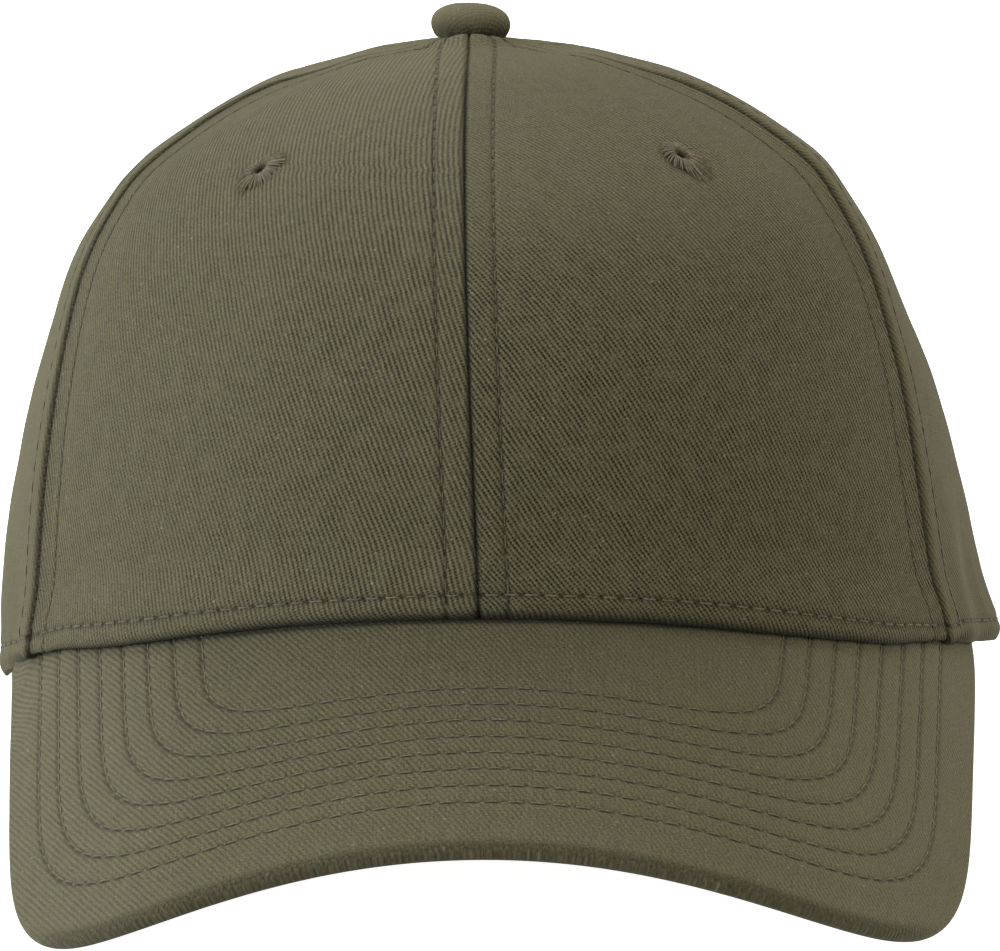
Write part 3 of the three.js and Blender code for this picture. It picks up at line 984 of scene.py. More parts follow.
    def _sewing(self, recipe: Recipe, place: Value, colour: Value, shown: Value) -> tuple[Value, Value]:
        """Paint shade on the cloth along its sewn lines, in its creases and folds, and at the needle's holes.

        Args:
            recipe: the material under construction.
            place: place on the flat cloth.
            colour: the cloth's colour.
            shown: how strongly the painted shadows of the sewn lines show.

        Returns:
            The colour and the height of the creases.
        """
        dark, crease = 0.0, 0.0
        ragged = recipe.span(recipe.noise(place, 2.0, 2.0), 0.3, 0.6, 0.45, 1.1)
        for name in self.sewn:
            aside, stitches, third = recipe.read(name)
            if name == "quilting":
                row = recipe.math("ROUND", recipe.math("MAXIMUM", recipe.math("MINIMUM", aside, third), 0.0))
                aside = (aside - row) * StitchRows.spacing
            # Painted shade: a shadow line beside the thread, and dark needle holes at the ends of each stitch.
            end = recipe.peak_at(recipe.math("FRACT", stitches + 0.5) - 0.5, 0.16)
            line = recipe.peak_at(aside + 0.24, 0.38) if name == "quilting" else recipe.peak_at(aside, 0.36)
            hole = recipe.peak_at(aside, 0.30) * end
            dark = dark + line * (1.0 - end) * shown * self.line_shade + hole * self.hole_shade
            # Painted shade from each line's third number: seam creases, the hem's turn, under the hem on the peak,
            # the nose and the button's base.
            if name != "quilting":
                dark = dark + third * ragged
            crease = crease + (line + hole) * -1.0
        return recipe.mix(recipe.math("MINIMUM", dark, 0.92), colour, self.crease), crease


@dataclass(frozen=True)
class SewingThread:
    """Twisted cotton-covered thread."""

    name: str
    colour: Colour
    shade: Colour

    def material(self) -> Material:
        """Build the material.

        Returns:
            The material.
        """
        recipe = Recipe(self.name)
        place = recipe.make("ShaderNodeTexCoord", out="Object")
        fuzz = recipe.noise(place, 2600.0, 2.0, 0.6)
        batch = recipe.span(recipe.noise(place, 160.0, 1.0), 0.3, 0.7, 0.0, 0.35)
        colour = recipe.mix(recipe.span(fuzz, 0.3, 0.7, 0.0, 1.0), self.shade, self.colour)
        return recipe.finish({
            "Base Color": recipe.mix(batch, colour, self.shade), "Roughness": 0.7,
            "Normal": recipe.relief(fuzz, 0.1, 0.8), "Specular IOR Level": 0.25,
            "Sheen Weight": 0.1, "Sheen Roughness": 0.4, "Sheen Tint": (0.85, 0.84, 0.70),
        })


@dataclass(frozen=True)
class PaleFloor:
    """Pale matt board under the cap."""

    name: str = "pale_floor"
    colour: Colour = (0.86, 0.86, 0.85)
    grain: Colour = (0.80, 0.80, 0.79)
    glow: float = 0.97

    def material(self) -> Material:
        """Build the material.

        Returns:
            The material.
        """
        recipe = Recipe(self.name)
        place = recipe.make("ShaderNodeTexCoord", out="Object")
        share = recipe.span(recipe.noise(place, 40.0, 3.0), 0.3, 0.7, 0.0, 0.04)
        return recipe.finish({
            "Base Color": recipe.mix(share, self.colour, self.grain), "Roughness": 0.95,
            "Specular IOR Level": 0.1, "Emission Color": (1.0, 1.0, 1.0), "Emission Strength": self.glow,
        })


def finishes() -> dict[str, Material]:
    """Build every material of the cap once.

    Returns:
        The materials by their names.
    """
    return {made.name: made.material() for made in (
        TwillCloth("front_twill", 1.12, 0.22, fuzz=0.5),
        TwillCloth("crown_twill", 0.55, 0.12),
        TwillCloth("peak_twill", 0.6, 0.12, 0.88, 62.0, 0.56, (0.112, 0.101, 0.058), fuzz=0.6, dots=0.22,
                   sewn=("quilting", "hem_and_painted_shade"), line_shade=0.74, hole_shade=0.1),
        # The button's material reads only the painted shade at its base, through the hem attribute.
        TwillCloth("button_twill", 0.28, 0.06, 0.80, 20.0, sewn=("hem_and_painted_shade",), line_shade=0.0, hole_shade=0.0),
        SewingThread("sewing_thread", (0.125, 0.111, 0.068), (0.052, 0.045, 0.026)),
        SewingThread("row_thread", (0.200, 0.178, 0.118), (0.080, 0.069, 0.042)),
        SewingThread("hem_thread", (0.195, 0.170, 0.118), (0.070, 0.062, 0.038)),
        SewingThread("eyelet_thread", (0.215, 0.188, 0.120), (0.085, 0.072, 0.040)),
        # Dark painted shade for the eyelet's bed and bore, under and between the threads.
        SewingThread("eyelet_bed_painted_shade", (0.060, 0.050, 0.027), (0.026, 0.021, 0.011)),
    )}


def dress(piece: Piece, material: Material, stands_for: str = "") -> None:
    """Give a finished piece its material and slot, and let it ride with the cap.

    Args:
        piece: the object.
        material: its finish.
        stands_for: the node that it replaces.
    """
    if stands_for:
        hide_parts(stands_for)
    if not piece.data.materials:
        piece.data.materials.append(material)
    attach(piece, "root")
    LOG.info("%s: %d faces", piece.name, len(piece.data.polygons))


# Crown panels


@dataclass(frozen=True)
class Eyelet:
    """A sewn air hole: its place on the crown and its sizes, mm."""

    name: str
    angle: float
    level: float
    seed: int
    shift: tuple[float, float] = (0.0, -0.6)
    tall: float = 6.0
    dent: float = 0.3
    dent_spread: float = 5.2
    wide: float = 4.3
    bed_lift: float = 0.15
    threads: int = 84
    profile: tuple[tuple[float, float], ...] = (
        (0.15, -0.35), (0.22, -0.06), (0.42, 0.06), (0.62, 0.0), (0.74, -0.12), (0.80, -0.3), (0.7, -0.4),
        (0.45, -0.5), (0.42, -2.2), (0.6, -2.35), (0.55, -2.6), (0.3, -2.6), (0.17, -1.8), (0.15, -0.25),
    )

    def centre(self) -> Array:
        """Place of the hole on the plain crown."""
        return CROWN.surface(self.angle, self.level)

    def axes(self) -> Array:
        """Directions at the hole.

        Returns:
            Across, up and out of the cloth.
        """
        out = CROWN.normal(self.angle, self.level)
        across = CROWN.across(self.angle, self.level, 0.5)
        across = unit(across - out * (across @ out))
        return np.stack([across, np.cross(out, across), out])

    def build(self, stock: ThreadStock, wardrobe: dict[str, Material]) -> None:
        """Model the ring and its radial stitches as one piece.

        Args:
            stock: the thread to copy.
            wardrobe: the finishes.
        """
        axes = self.axes()
        sunk = 0.9 * (self.dent - Eyelet.dent)
        centre = self.centre() + axes[2] * (self.bed_lift + bulging(self.angle, self.level) - sunk)
        profile = np.array(self.profile)
        ring, round_it, over = Bench.grid(f"{self.name}_sewn", 48, len(profile) - 1)
        share, height = profile[np.round(over * (len(profile) - 1)).astype(int)].T
        turn = FULL_TURN * round_it
        uneven = 1 + 0.05 * np.sin(3 * turn + self.seed) + 0.03 * np.sin(7 * turn + 2 * self.seed)
        share = share * np.where(share > 0.4, uneven, 1)
        Bench.shape(ring, self._put(centre, axes, share, turn, height))
        Bench.weld(ring, 1e-6)
        Bench.smooth(ring, 55.0)
        # The bed and bore are painted dark: painted shade in the hole and between the threads.
        ring.data.materials.append(wardrobe["eyelet_bed_painted_shade"])
        threads = self._threads(stock, centre, axes)
        threads.data.materials.append(wardrobe["eyelet_thread"])
        Bench.pick(ring)
        threads.select_set(True)
        bpy.ops.object.join()
        dress(ring, wardrobe["eyelet_thread"], self.name)

    def _put(self, centre: Array, axes: Array, share: Array, turn: Array, height: Array) -> Array:
        """Points round the hole.

        Args:
            centre: the hole's centre.
            axes: directions across, up and out.
            share: share of the way to the ring's edge.
            turn: angle round the hole.
            height: height over the cloth.

        Returns:
            Points of the crown's frame.
        """
        aside = share * self.wide * np.cos(turn) + self.shift[0] * share ** 2
        above = share * self.tall * np.sin(turn) + self.shift[1] * share ** 2
        return centre + np.stack([aside, above, height], -1) @ axes

    def _threads(self, stock: ThreadStock, centre: Array, axes: Array) -> Piece:
        """Lay satin stitches from inside the bore out to an uneven edge.

        Args:
            stock: the thread to copy.
            centre: the hole's centre.
            axes: directions across, up and out.

        Returns:
            The object.
        """
        random = np.random.default_rng(self.seed)
        count = self.threads
        turn = FULL_TURN * (np.arange(count) + random.uniform(-0.4, 0.4, count)) / count
        reach = 1 + random.uniform(-0.24, 0.1, count)
        share = np.linspace(0, 1, stock.rings + 1)
        along = 0.15 + (reach - 0.15)[:, None] * share ** 0.9
        height = np.interp(share, [0, 0.12, 0.35, 0.75, 1.0], [-0.7, 0.14, 0.26, 0.14, -0.2])
        height = height[None] + random.uniform(-0.08, 0.12, (count, 1))
        angle = turn[:, None] + random.uniform(-0.08, 0.08, count)[:, None] * share
        paths = self._put(centre, axes, along, angle, height)
        sizes = random.uniform(0.09, 0.13, count)
        return stock.lay(f"{self.name}_threads", paths, np.broadcast_to(axes[2], paths.shape), sizes)


EYELETS = {
    "front_panel_left": Eyelet("eyelet_front_left", -36.0, 0.823, 11, (1.1, -1.1)),
    "front_panel_right": Eyelet("eyelet_front_right", 38.3, 0.84, 23, (0.2, -2.0)),
    "side_panel_left": Eyelet("eyelet_side_left", -101.0, 0.81, 31, tall=4.4, dent=0.7),
    "side_panel_right": Eyelet("eyelet_side_right", 101.0, 0.81, 43, tall=4.4, dent=0.7),
    "back_panel_left": Eyelet("eyelet_back_left", -152.0, 0.75, 57),
    "back_panel_right": Eyelet("eyelet_back_right", 152.0, 0.75, 61),
}


@dataclass(frozen=True)
class Panel:
    """One of the crown's six panels, between two seams. Its width is shared from low edge to high."""

    name: str
    low_seam: Seam
    high_seam: Seam
    side: int
    index: int
    grain: float = 0.0
    low_row: float = 4.7
    high_row: float = 4.7
    columns: int = 136
    rows: int = 156
    wall: float = 1.8
    seam_gap: float = 0.001
    full_width: float = 13.0
    peak_angle: float = 66.0
    bore: float = 1.45
    bore_reach: float = 8.0
    flat_size: tuple[float, float] = (0.098, 0.152)
    flat_area: float = 0.0110

    @property
    def front(self) -> bool:
        """Whether this is one of the two front panels."""
        return self.name.startswith("front")

    def seam_angle(self, seam: Seam, level: Array) -> Array:
        """Angle of one of the panel's seams on its own side of the crown."""
        shift = CROWN.centre_seam_shift if seam is Seam.CENTRE_FRONT else 0.0
        return self.side * seam.angle(level) + shift

    def edges(self, level: Array) -> tuple[Array, Array]:
        """Angles of the panel's two edges, half a seam gap in from each seam.

        Args:
            level: level on the crown.

        Returns:
            Angle of the low edge and of the high one.
        """
        low, high = self.seam_angle(self.low_seam, level), self.seam_angle(self.high_seam, level)
        half = self.seam_gap / 2
        return low + half / CROWN.per_degree(low, level), high - half / CROWN.per_degree(high, level)

    def widths(self, level: Array) -> list[Array]:
        """Width at the low and at the high edge, as on a panel wide enough for both sewn rows.

        Args:
            level: level on the crown.

        Returns:
            The two widths, mm.
        """
        low, high = self.edges(level)
        crowding = np.minimum(1, (high - low) * CROWN.per_degree((low + high) / 2, level) / self.full_width)
        return [(high - low) * CROWN.per_degree(edge, level) / crowding for edge in (low, high)]

    def distances(self, across: Array, level: Array) -> tuple[Array, Array, Array]:
        """Where a place lies between the seams.

        Args:
            across, level: place on the panel.

        Returns:
            Distance from each edge, mm, and the angle.
        """
        (low, high), (low_width, high_width) = self.edges(level), self.widths(level)
        return across * low_width, (1 - across) * high_width, low + (high - low) * across

    def seam_length(self, seam: Seam) -> tuple[Array, Array]:
        """Levels up a seam, and the length from the rim at each."""
        levels = CROWN.row_level(np.linspace(0, 1, 400) ** 1.2)
        return levels, run_of(CROWN.surface(self.seam_angle(seam, levels), levels))

    def relief(self, across: Array, level: Array) -> Array:
        """Height of the cloth over the plain crown.

        Args:
            across, level: place on the panel.

        Returns:
            Height, mm.
        """
        from_low, from_high, angle = self.distances(across, level)
        height = level * CROWN.height
        out = CROWN.puff * np.sin(np.pi * across) * np.sin(np.pi * np.sqrt(level)) + bulging(angle, level)
        for fold in FOLDS:
            out = out + fold.depth * bell(angle - fold.angle, fold.width) * fade(height / fold.height, 0.25, 0.75)
        along = np.interp(level, *self.seam_length(self.low_seam))
        for seam, inward, row in (
            (self.low_seam, from_low, self.low_row), (self.high_seam, from_high, self.high_row),
        ):
            if seam is Seam.FRONT_SIDE:
                out = out + CORNERS[self.side].lift(inward, level, self.front)
                out = out + CORNER_SEAM.lift(inward, along, row)
            else:
                out = out + FLAT_SEAM.lift(inward, along + 1.2, row)
        out = out + HEM.lift(level * CROWN.per_level(angle), angle)
        inside = ramp(np.minimum(from_low, from_high), 0, 9.0)
        for depth, seed, cell in ((0.22, self.index, 17.0), (0.07, self.index + 20, 6.0)):
            out = out + depth * SoftNoise(seed, cell).at(round_rim(angle), height) * inside
        eyelet = EYELETS[self.name]
        away = np.linalg.norm(CROWN.surface(angle, level) - eyelet.centre(), axis=-1)
        return out - eyelet.dent * bell(away, eyelet.dent_spread)

    def place(self, across: Array, level: Array) -> tuple[Array, Array]:
        """The cloth's face, kept over the peak and over the floor.

        Args:
            across, level: place on the panel.

        Returns:
            Points, and the plain crown's normals there.
        """
        low, high = self.edges(level)
        angle = low + (high - low) * across
        normal = CROWN.normal(angle, level)
        points = CROWN.surface(angle, level) + normal * self.relief(across, level)[..., None]
        x, y, z = np.moveaxis(points, -1, 0)
        z = z - HEM.drop(points, angle, level * CROWN.per_level(angle))
        over_peak = np.abs(angle) < self.peak_angle
        peak = np.where(over_peak, CROWN.board.top(x, y) + HEM.over_peak - 0.03, NOWHERE)
        floor = np.maximum(peak, CROWN.rest_level(y))
        z = np.where(z < CROWN.board.root_level + 12, np.maximum(z, floor), z)
        return np.stack([x, y, z], -1), normal

    def build(self, wardrobe: dict[str, Material]) -> None:
        """Model the panel as a wall of cloth with a hole for its eyelet.

        Args:
            wardrobe: the finishes.
        """
        piece, across, up = Bench.grid(f"{self.name}_cloth", self.columns, self.rows)
        across = across - 0.6 * np.sin(FULL_TURN * across) / FULL_TURN
        level = CROWN.row_level(up ** 1.25)
        points, _ = self.place(across, level)
        eyelet = EYELETS[self.name]
        axes = eyelet.axes()
        local = (points - eyelet.centre()) @ axes.T
        away, at_hole = np.hypot(local[:, 0], local[:, 1]), np.abs(local[:, 2]) < self.bore_reach
        near = (away >= self.bore) & (away < self.bore + 0.95) & at_hole
        factor = np.where(near, (1.9 + (away - self.bore) * 0.4) / np.maximum(away, 0.1), 1.0) - 1
        points = points + (local[:, :2] * factor[:, None]) @ axes[:2]
        Bench.cloth_map(piece, self._cloth_places(across, level, points))
        self._mark(piece, across, level)
        Bench.shape(piece, points)
        Bench.cut_out(piece, (away < self.bore) & at_hole)
        Bench.wall(piece, self.wall)
        self._settle(piece)
        Bench.smooth(piece)
        part = "front" if self.front else "crown"
        dress(piece, wardrobe[f"{part}_twill"], self.name)

    def _cloth_places(self, across: Array, level: Array, points: Array) -> Array:
        """Lay the panel flat, turned to its own grain.

        Args:
            across, level: places on the panel.
            points: the same places in space.

        Returns:
            Places on the flat cloth, mm.
        """
        order = np.lexsort((across, level))
        shaped = points[order].reshape(self.rows + 1, self.columns + 1, 3)
        steps = np.linalg.norm(np.diff(shaped, axis=1), axis=2)
        wide = np.concatenate([np.zeros((self.rows + 1, 1)), np.cumsum(steps, axis=1)], axis=1)
        wide = wide - wide[:, [self.columns // 2]]
        tall = np.broadcast_to(run_of(shaped[:, self.columns // 2])[:, None], wide.shape)
        places = np.zeros((len(points), 2))
        places[order] = np.stack([wide, tall], -1).reshape(-1, 2)
        sine, cosine = np.sin(np.radians(self.grain)), np.cos(np.radians(self.grain))
        return places @ np.array([[cosine, -sine], [sine, cosine]]) + np.array([190.0 * self.index, 30.0])

    def _mark(self, piece: Piece, across: Array, level: Array) -> None:
        """Mark the sewn rows, painted shade in creases at seams and rim, painted sheen, and the weave's clarity.

        Args:
            piece: the object.
            across, level: places on the panel.
        """
        from_low, from_high, angle = self.distances(across, level)
        seams = (self.low_seam, self.high_seam)
        along = [np.interp(level, *self.seam_length(seam)) / FLAT_SEAM.pitch for seam in seams]
        low, high = from_low - self.low_row, from_high - self.high_row
        nearer = np.abs(low) < np.abs(high)
        spreads = [0.85 if seam is Seam.FRONT_SIDE and self.side < 0 else 0.5 for seam in seams]
        # Painted shade in the creases along both seams.
        crease = 0.92 * np.maximum(bell(from_low, spreads[0]), bell(from_high, spreads[1]))
        crease = crease * (1 - 0.5 * ramp(level, 0.955, 0.03))
        Bench.mark(piece, "stitching", np.where(nearer, low, high), np.where(nearer, *along), crease)
        rise = level * CROWN.per_level(angle)
        # Painted shade where the hem turns under over the peak.
        Bench.mark(piece, "hem_and_painted_shade", rise - HEM.row_at(angle), round_rim(angle) / HEM.edge.pitch,
                   HEM.fold_shade(rise, angle))
        # Weave clarity, which also paints shade and light: clearer and darker towards the shaded right, fainter and
        # lighter high up.
        clear = 0.78 + 0.22 * ramp(angle, -30, 18) + 0.08 * (angle > 0)
        clear = clear * (1 - 0.5 * ramp(level - 0.60, 0.18 * (angle < 0), 0.22))
        clear = clear * (1 - 0.6 * ramp(level, 0.95, 0.03))
        # How strongly the painted shadows beside the seam rows show.
        rows = 1 - 0.75 * np.where(self.side > 0, ramp(level, 0.5, 0.15), ramp(level, 0.82, 0.12))
        rows = rows * (1 - 0.9 * ramp(level, 0.955, 0.02))
        # The third number is painted sheen on the left front panel.
        Bench.mark(piece, "clarity", clear, rows, 0.05 if self.front and self.side < 0 else 0.0)

    def _settle(self, piece: Piece) -> None:
        """Keep both faces of the wall off the peak and on the floor.

        Args:
            piece: the object.
        """
        x, y, z = POSE.back(Bench.points(piece)).T
        wide, deep = x / CROWN.half_width, y / CROWN.front_reach
        over_peak = (y < 0) & (np.abs(x) < 84) & (z < CROWN.board.root_level + 8) & (np.hypot(wide, deep) > 0.93)
        over_peak = over_peak & (np.abs(np.degrees(np.arctan2(wide, -deep))) < self.peak_angle)
        floor = np.where(over_peak, CROWN.board.top(x, y) + 0.1, NOWHERE)
        floor = np.maximum(floor, CROWN.rest_level(y) + 0.02)
        Bench.shape(piece, np.stack([x, y, np.maximum(z, floor)], -1))

    def seam_stitches(self, rings: int) -> tuple[Array, Array]:
        """Paths of the two rows beside the seams.

        Args:
            rings: steps along each stitch.

        Returns:
            Paths and normals, stitches x (rings + 1) x 3.
        """
        made = []
        for edge, seam, row in ((0, self.low_seam, self.low_row), (1, self.high_seam, self.high_row)):
            levels, lengths = self.seam_length(seam)
            start = np.arange(1, int((lengths[-1] - 4.5) / FLAT_SEAM.pitch)) * FLAT_SEAM.pitch
            share = np.linspace(0.05, 0.95, rings + 1)
            level = np.interp(start[:, None] + share * FLAT_SEAM.pitch, lengths, levels)
            across = row / self.widths(level)[edge]
            made.append(self.place(1 - across if edge else across, level))
        return tuple(np.concatenate(both) for both in zip(*made))

    def hem_stitches(self, rings: int) -> tuple[Array, Array]:
        """Paths of the row above the rim.

        Args:
            rings: steps along each stitch.

        Returns:
            Paths and normals, as for the seams.
        """
        low, high = (round_rim(edge[0]) / HEM.edge.pitch for edge in self.edges(np.array([0.04])))
        start = np.arange(np.ceil(low), np.floor(high))
        share = np.linspace(0.05, 0.95, rings + 1)
        angle = np.degrees((start[:, None] + share) * HEM.edge.pitch / RIM_RADIUS)
        level = HEM.row_at(angle) / CROWN.per_level(angle)
        edge_low, edge_high = self.edges(level)
        return self.place(np.clip((angle - edge_low) / (edge_high - edge_low), 0.01, 0.99), level)


PANELS = (
    Panel("front_panel_left", Seam.FRONT_SIDE, Seam.CENTRE_FRONT, -1, 0, -3.0, 5.8, 5.0),
    Panel("front_panel_right", Seam.CENTRE_FRONT, Seam.FRONT_SIDE, 1, 1, 3.0, high_row=5.8),
    Panel("side_panel_left", Seam.SIDE_BACK, Seam.FRONT_SIDE, -1, 2, high_row=5.0),
    Panel("side_panel_right", Seam.FRONT_SIDE, Seam.SIDE_BACK, 1, 3, low_row=5.0),
    Panel("back_panel_left", Seam.CENTRE_BACK, Seam.SIDE_BACK, -1, 4, flat_area=0.0092),
    Panel("back_panel_right", Seam.SIDE_BACK, Seam.CENTRE_BACK, 1, 5, flat_area=0.0092),
)


@dataclass(frozen=True)
class SewnRow:
    """A row of the crown's topstitching, mm: its threads lie in a groove with both ends pulled in."""

    name: str
    finish: str
    radius: float
    sink: float = 0.42

    def build(self, stock: ThreadStock, wardrobe: dict[str, Material],
              layout: Callable[[Panel, int], tuple[Array, Array]]) -> None:
        """Model the row on every panel as one piece.

        Args:
            stock: the thread to copy.
            wardrobe: the finishes.
            layout: the method of a panel that gives the paths.
        """
        made = [layout(panel, stock.rings) for panel in PANELS]
        paths, normals = (np.concatenate(both) for both in zip(*made))
        sizes = np.random.default_rng(len(paths)).uniform(0.72, 1.12, len(paths)) * self.radius
        lift = self.radius * THREAD_FLATNESS - self.sink * np.abs(np.linspace(-1, 1, paths.shape[1])) ** 3
        piece = stock.lay(self.name, paths + normals * lift[None, :, None], normals, sizes)
        dress(piece, wardrobe[self.finish])


# Peak


@dataclass(frozen=True)
class StitchRows:
    """The eight rows sewn through the peak, as curves on its flat pattern, mm."""

    count: int = 8
    first_reach: float = 51.72
    reach_step: float = 4.544
    first_half: float = 77.31
    half_step: float = 4.156
    half_slip: float = 0.0357
    centre: float = -8.88
    centre_step: float = 0.521
    first_square: float = 4.265
    square_step: float = 0.0974
    flare: float = 0.0852
    shift: float = 0.333
    shift_step: float = 0.145
    pitch: float = 3.5
    spacing: float = 4.5
    pole: float = 60.0

    def sizes(self, row: Array) -> tuple[Array, Array, Array, Array, Array]:
        """Measures of a row across the peak.

        Args:
            row: the number of the row, the outermost being zero.

        Returns:
            Its half width, reach, centre, squareness and sideways shift.
        """
        return (self.first_half - self.half_step * row - self.half_slip * row * row,
                self.first_reach - self.reach_step * row, self.centre + self.centre_step * row,
                self.first_square - self.square_step * row, self.shift + self.shift_step * row)

    def even(self, row: int) -> tuple[Array, Array, Array]:
        """A row at small steps from its left end to its right end.

        Args:
            row: number of the row, 0 the outermost.

        Returns:
            Places across and forward on the flat pattern, and length from the centre front.
        """
        half, reach, centre, square, shift = self.sizes(row)
        turn = np.linspace(-1, 1, 4001) * 1.7
        angle = np.clip(turn, -1, 1) * np.pi / 2
        behind = np.maximum(0, np.abs(turn) - 1) * self.pole
        forward = centre - behind + (reach - centre) * np.abs(np.cos(angle)) ** (2 / square)
        side = np.sign(angle) * np.abs(np.sin(angle)) ** (2 / square)
        across = side * (half + self.flare * (reach - forward)) + shift
        length = run_of(np.stack([across, forward], -1))
        return across, forward, length - length[len(length) // 2]

    def number(self, flat: Array) -> Array:
        """Row number, not rounded, of any place of the flat pattern.

        Args:
            flat: places across and forward.

        Returns:
            Numbers, 0 on the outermost row.
        """
        across, forward = flat[..., 0], flat[..., 1]
        low, high = np.full(across.shape, -4.0), np.full(across.shape, 15.9)
        for _ in range(26):
            middle = (low + high) / 2
            half, reach, centre, square, shift = self.sizes(middle)
            wide = np.abs(across - shift) / np.maximum(half + self.flare * (reach - forward), 0.5)
            deep = np.maximum(forward - centre, 0) / np.maximum(reach - centre, 0.5)
            inside = wide ** square + deep ** square < 1
            low, high = np.where(inside, middle, low), np.where(inside, high, middle)
        return (low + high) / 2

    def nearest(self, number: Array) -> Array:
        """The row nearest to each row number."""
        return np.clip(np.round(number), 0, self.count - 1)

    def round_pole(self, flat: Array) -> Array:
        """Angle of places round a point behind the centre, which tells how far along a row they are."""
        return np.arctan2(flat[..., 0], flat[..., 1] + self.pole)


@dataclass(frozen=True)
class Peak:
    """The stitched peak: a board covered with twill. Pairs of sizes are left and right."""

    length: float = 64.0
    half_width: float = 84.65
    shift: float = 0.95
    squareness: tuple[float, float] = (4.95, 4.25)
    front_radius: tuple[float, float] = (1050.0, 2200.0)
    flare: float = 0.10
    centre: float = -15.0
    tip_set_back: float = 60.0
    tip_turn_in: tuple[float, float] = (-0.4, 2.0)
    thickness: float = 3.3
    tuck: float = 4.5
    groove: float = 0.12
    groove_width: float = 0.6
    columns: int = 380
    top_rows: int = 150
    nose_rows: int = 12
    under_rows: int = 44
    board: PeakBoard = PeakBoard()
    rows: StitchRows = StitchRows()

    def outline(self, share: Array) -> Array:
        """Outer edge of the flat pattern.

        Args:
            share: share of its length, from the left tip to the right one.

        Returns:
            Places on the flat pattern.
        """
        side_length = self.tip_set_back + self.centre
        place = np.linspace(-1, 1, 6001) * (1 + side_length / self.tip_set_back)
        angle = np.clip(place, -1, 1) * np.pi / 2
        power = 2 / np.where(place < 0, *self.squareness)
        across = np.sign(place) * np.abs(np.sin(angle)) ** power
        half = self.half_width * across
        reach = self.length - self.centre - half * half / (2 * np.where(place < 0, *self.front_radius))
        behind = np.maximum(0, np.abs(place) - 1) * self.tip_set_back
        forward = self.centre - behind + reach * np.abs(np.cos(angle)) ** power
        turn_in = np.where(place < 0, *self.tip_turn_in) * (behind / side_length) ** 8
        wide = half + across * (self.flare * (self.length - forward) - turn_in) + self.shift
        length = run_of(np.stack([wide, forward], -1))
        return np.stack([np.interp(share * length[-1], length, side) for side in (wide, forward)], -1)

    def inner(self, share: Array) -> Array:
        """Inner edge of the flat pattern, just inside the crown's rim, from left to right.

        Args:
            share: share of its length.

        Returns:
            Places on the flat pattern.
        """
        turn, reach = np.radians(CROWN.peak_tip_angle * (share * 2 - 1)), CROWN.front_reach - self.tuck
        x = CROWN.half_width * reach / CROWN.front_reach * np.sin(turn)
        return np.stack(self.board.flat(x, -reach * np.cos(turn)), -1)

    def lift(self, flat: Array) -> Array:
        """Relief of the cloth: sunk rows with soft ridges between them.

        Args:
            flat: places on the flat pattern.

        Returns:
            Height, mm.
        """
        number = self.rows.number(flat)
        aside = (number - self.rows.nearest(number)) * self.rows.spacing
        sewn = (number > -0.8) & (number < self.rows.count - 0.2)
        quilt = np.where(sewn, 0.05 * np.sin(np.pi * np.clip(number - np.floor(number), 0, 1)), 0.0)
        uneven, broad, fine = (SoftNoise(*kind).at(flat[..., 0], flat[..., 1]) for kind in (
            (71, 3.1), (72, 21.0), (73, 5.0)))
        sunk = self.groove * bell(aside, self.groove_width) * (1 + 0.3 * uneven)
        return quilt - sunk + (0.10 * broad + 0.04 * fine)

    def build(self, wardrobe: dict[str, Material]) -> None:
        """Model the peak as one closed skin over and under the board.

        Args:
            wardrobe: the finishes.
        """
        total, nose_end = self.top_rows + self.nose_rows + self.under_rows, self.top_rows + self.nose_rows
        piece, along, over = Bench.grid("peak_cloth", self.columns, total)
        row = np.round(over * total).astype(int)
        radius = self.thickness / 2
        inner, outer = self.inner(along), self.outline(along)
        length = np.linalg.norm(outer - inner, axis=1)
        nose = np.clip(row - self.top_rows, 0, self.nose_rows) / self.nose_rows * np.pi
        under = np.clip(row - nose_end, 0, self.under_rows) / self.under_rows
        run = np.maximum(length - radius, 0.1)
        reach = np.where(row <= self.top_rows, run * row / self.top_rows,
                         np.where(under > 0, run * (1 - under), run + radius * np.sin(nose)))
        flat = inner + (outer - inner) * (reach / length)[:, None]
        fullness = np.clip(np.minimum(along, 1 - along) * self.columns / 2, 0, 1)
        relief = self.lift(flat) * fullness * np.clip(reach / 2, 0, 1) * ramp(length - reach, 0, 3.0)
        relief = np.where(row <= self.top_rows + self.nose_rows / 2, -relief, relief)
        below = np.where(row == total, 0.0, radius - radius * np.cos(nose) * fullness + relief)
        Bench.cloth_map(piece, flat + np.array([0.0, 500.0]))
        self._mark(piece, flat, row, reach)
        Bench.shape(piece, self.board.point(flat[:, 0], flat[:, 1], below))
        Bench.weld(piece, SKIN_WELD)
        Bench.smooth(piece)
        dress(piece, wardrobe["peak_twill"], "peak")

    def _mark(self, piece: Piece, flat: Array, row: Array, reach: Array) -> None:
        """Mark the sewn rows, painted shade beside the crown and round the nose, painted sheen, and the weave's
        clarity.

        Args:
            piece: the object.
            flat: places on the flat pattern.
            row: row of the grid.
            reach: distance from the inner edge, mm.
        """
        across, forward = flat.T
        number = self.rows.number(flat)
        stitches = np.zeros(len(flat))
        for sewn in range(self.rows.count):
            mine = self.rows.nearest(number) == sewn
            *path, length = self.rows.even(sewn)
            polar = self.rows.round_pole(np.stack(path, -1))
            stitches[mine] = np.interp(self.rows.round_pole(flat[mine]), polar, length) / self.rows.pitch
        Bench.mark(piece, "quilting", number, stitches, self.rows.count - 1.0)
        folded = ramp(row - self.top_rows, -3, 4) * (row < self.top_rows + self.nose_rows)
        # Painted shadow on the peak just under the hem, and painted shade on the front of the nose.
        near = 0.8 * fade(reach - self.tuck, 1.2, 1.2) * (row <= self.top_rows)
        Bench.mark(piece, "hem_and_painted_shade", FAR_ASIDE, 0.0, near + 0.42 * folded * ramp(forward, 40, 12))
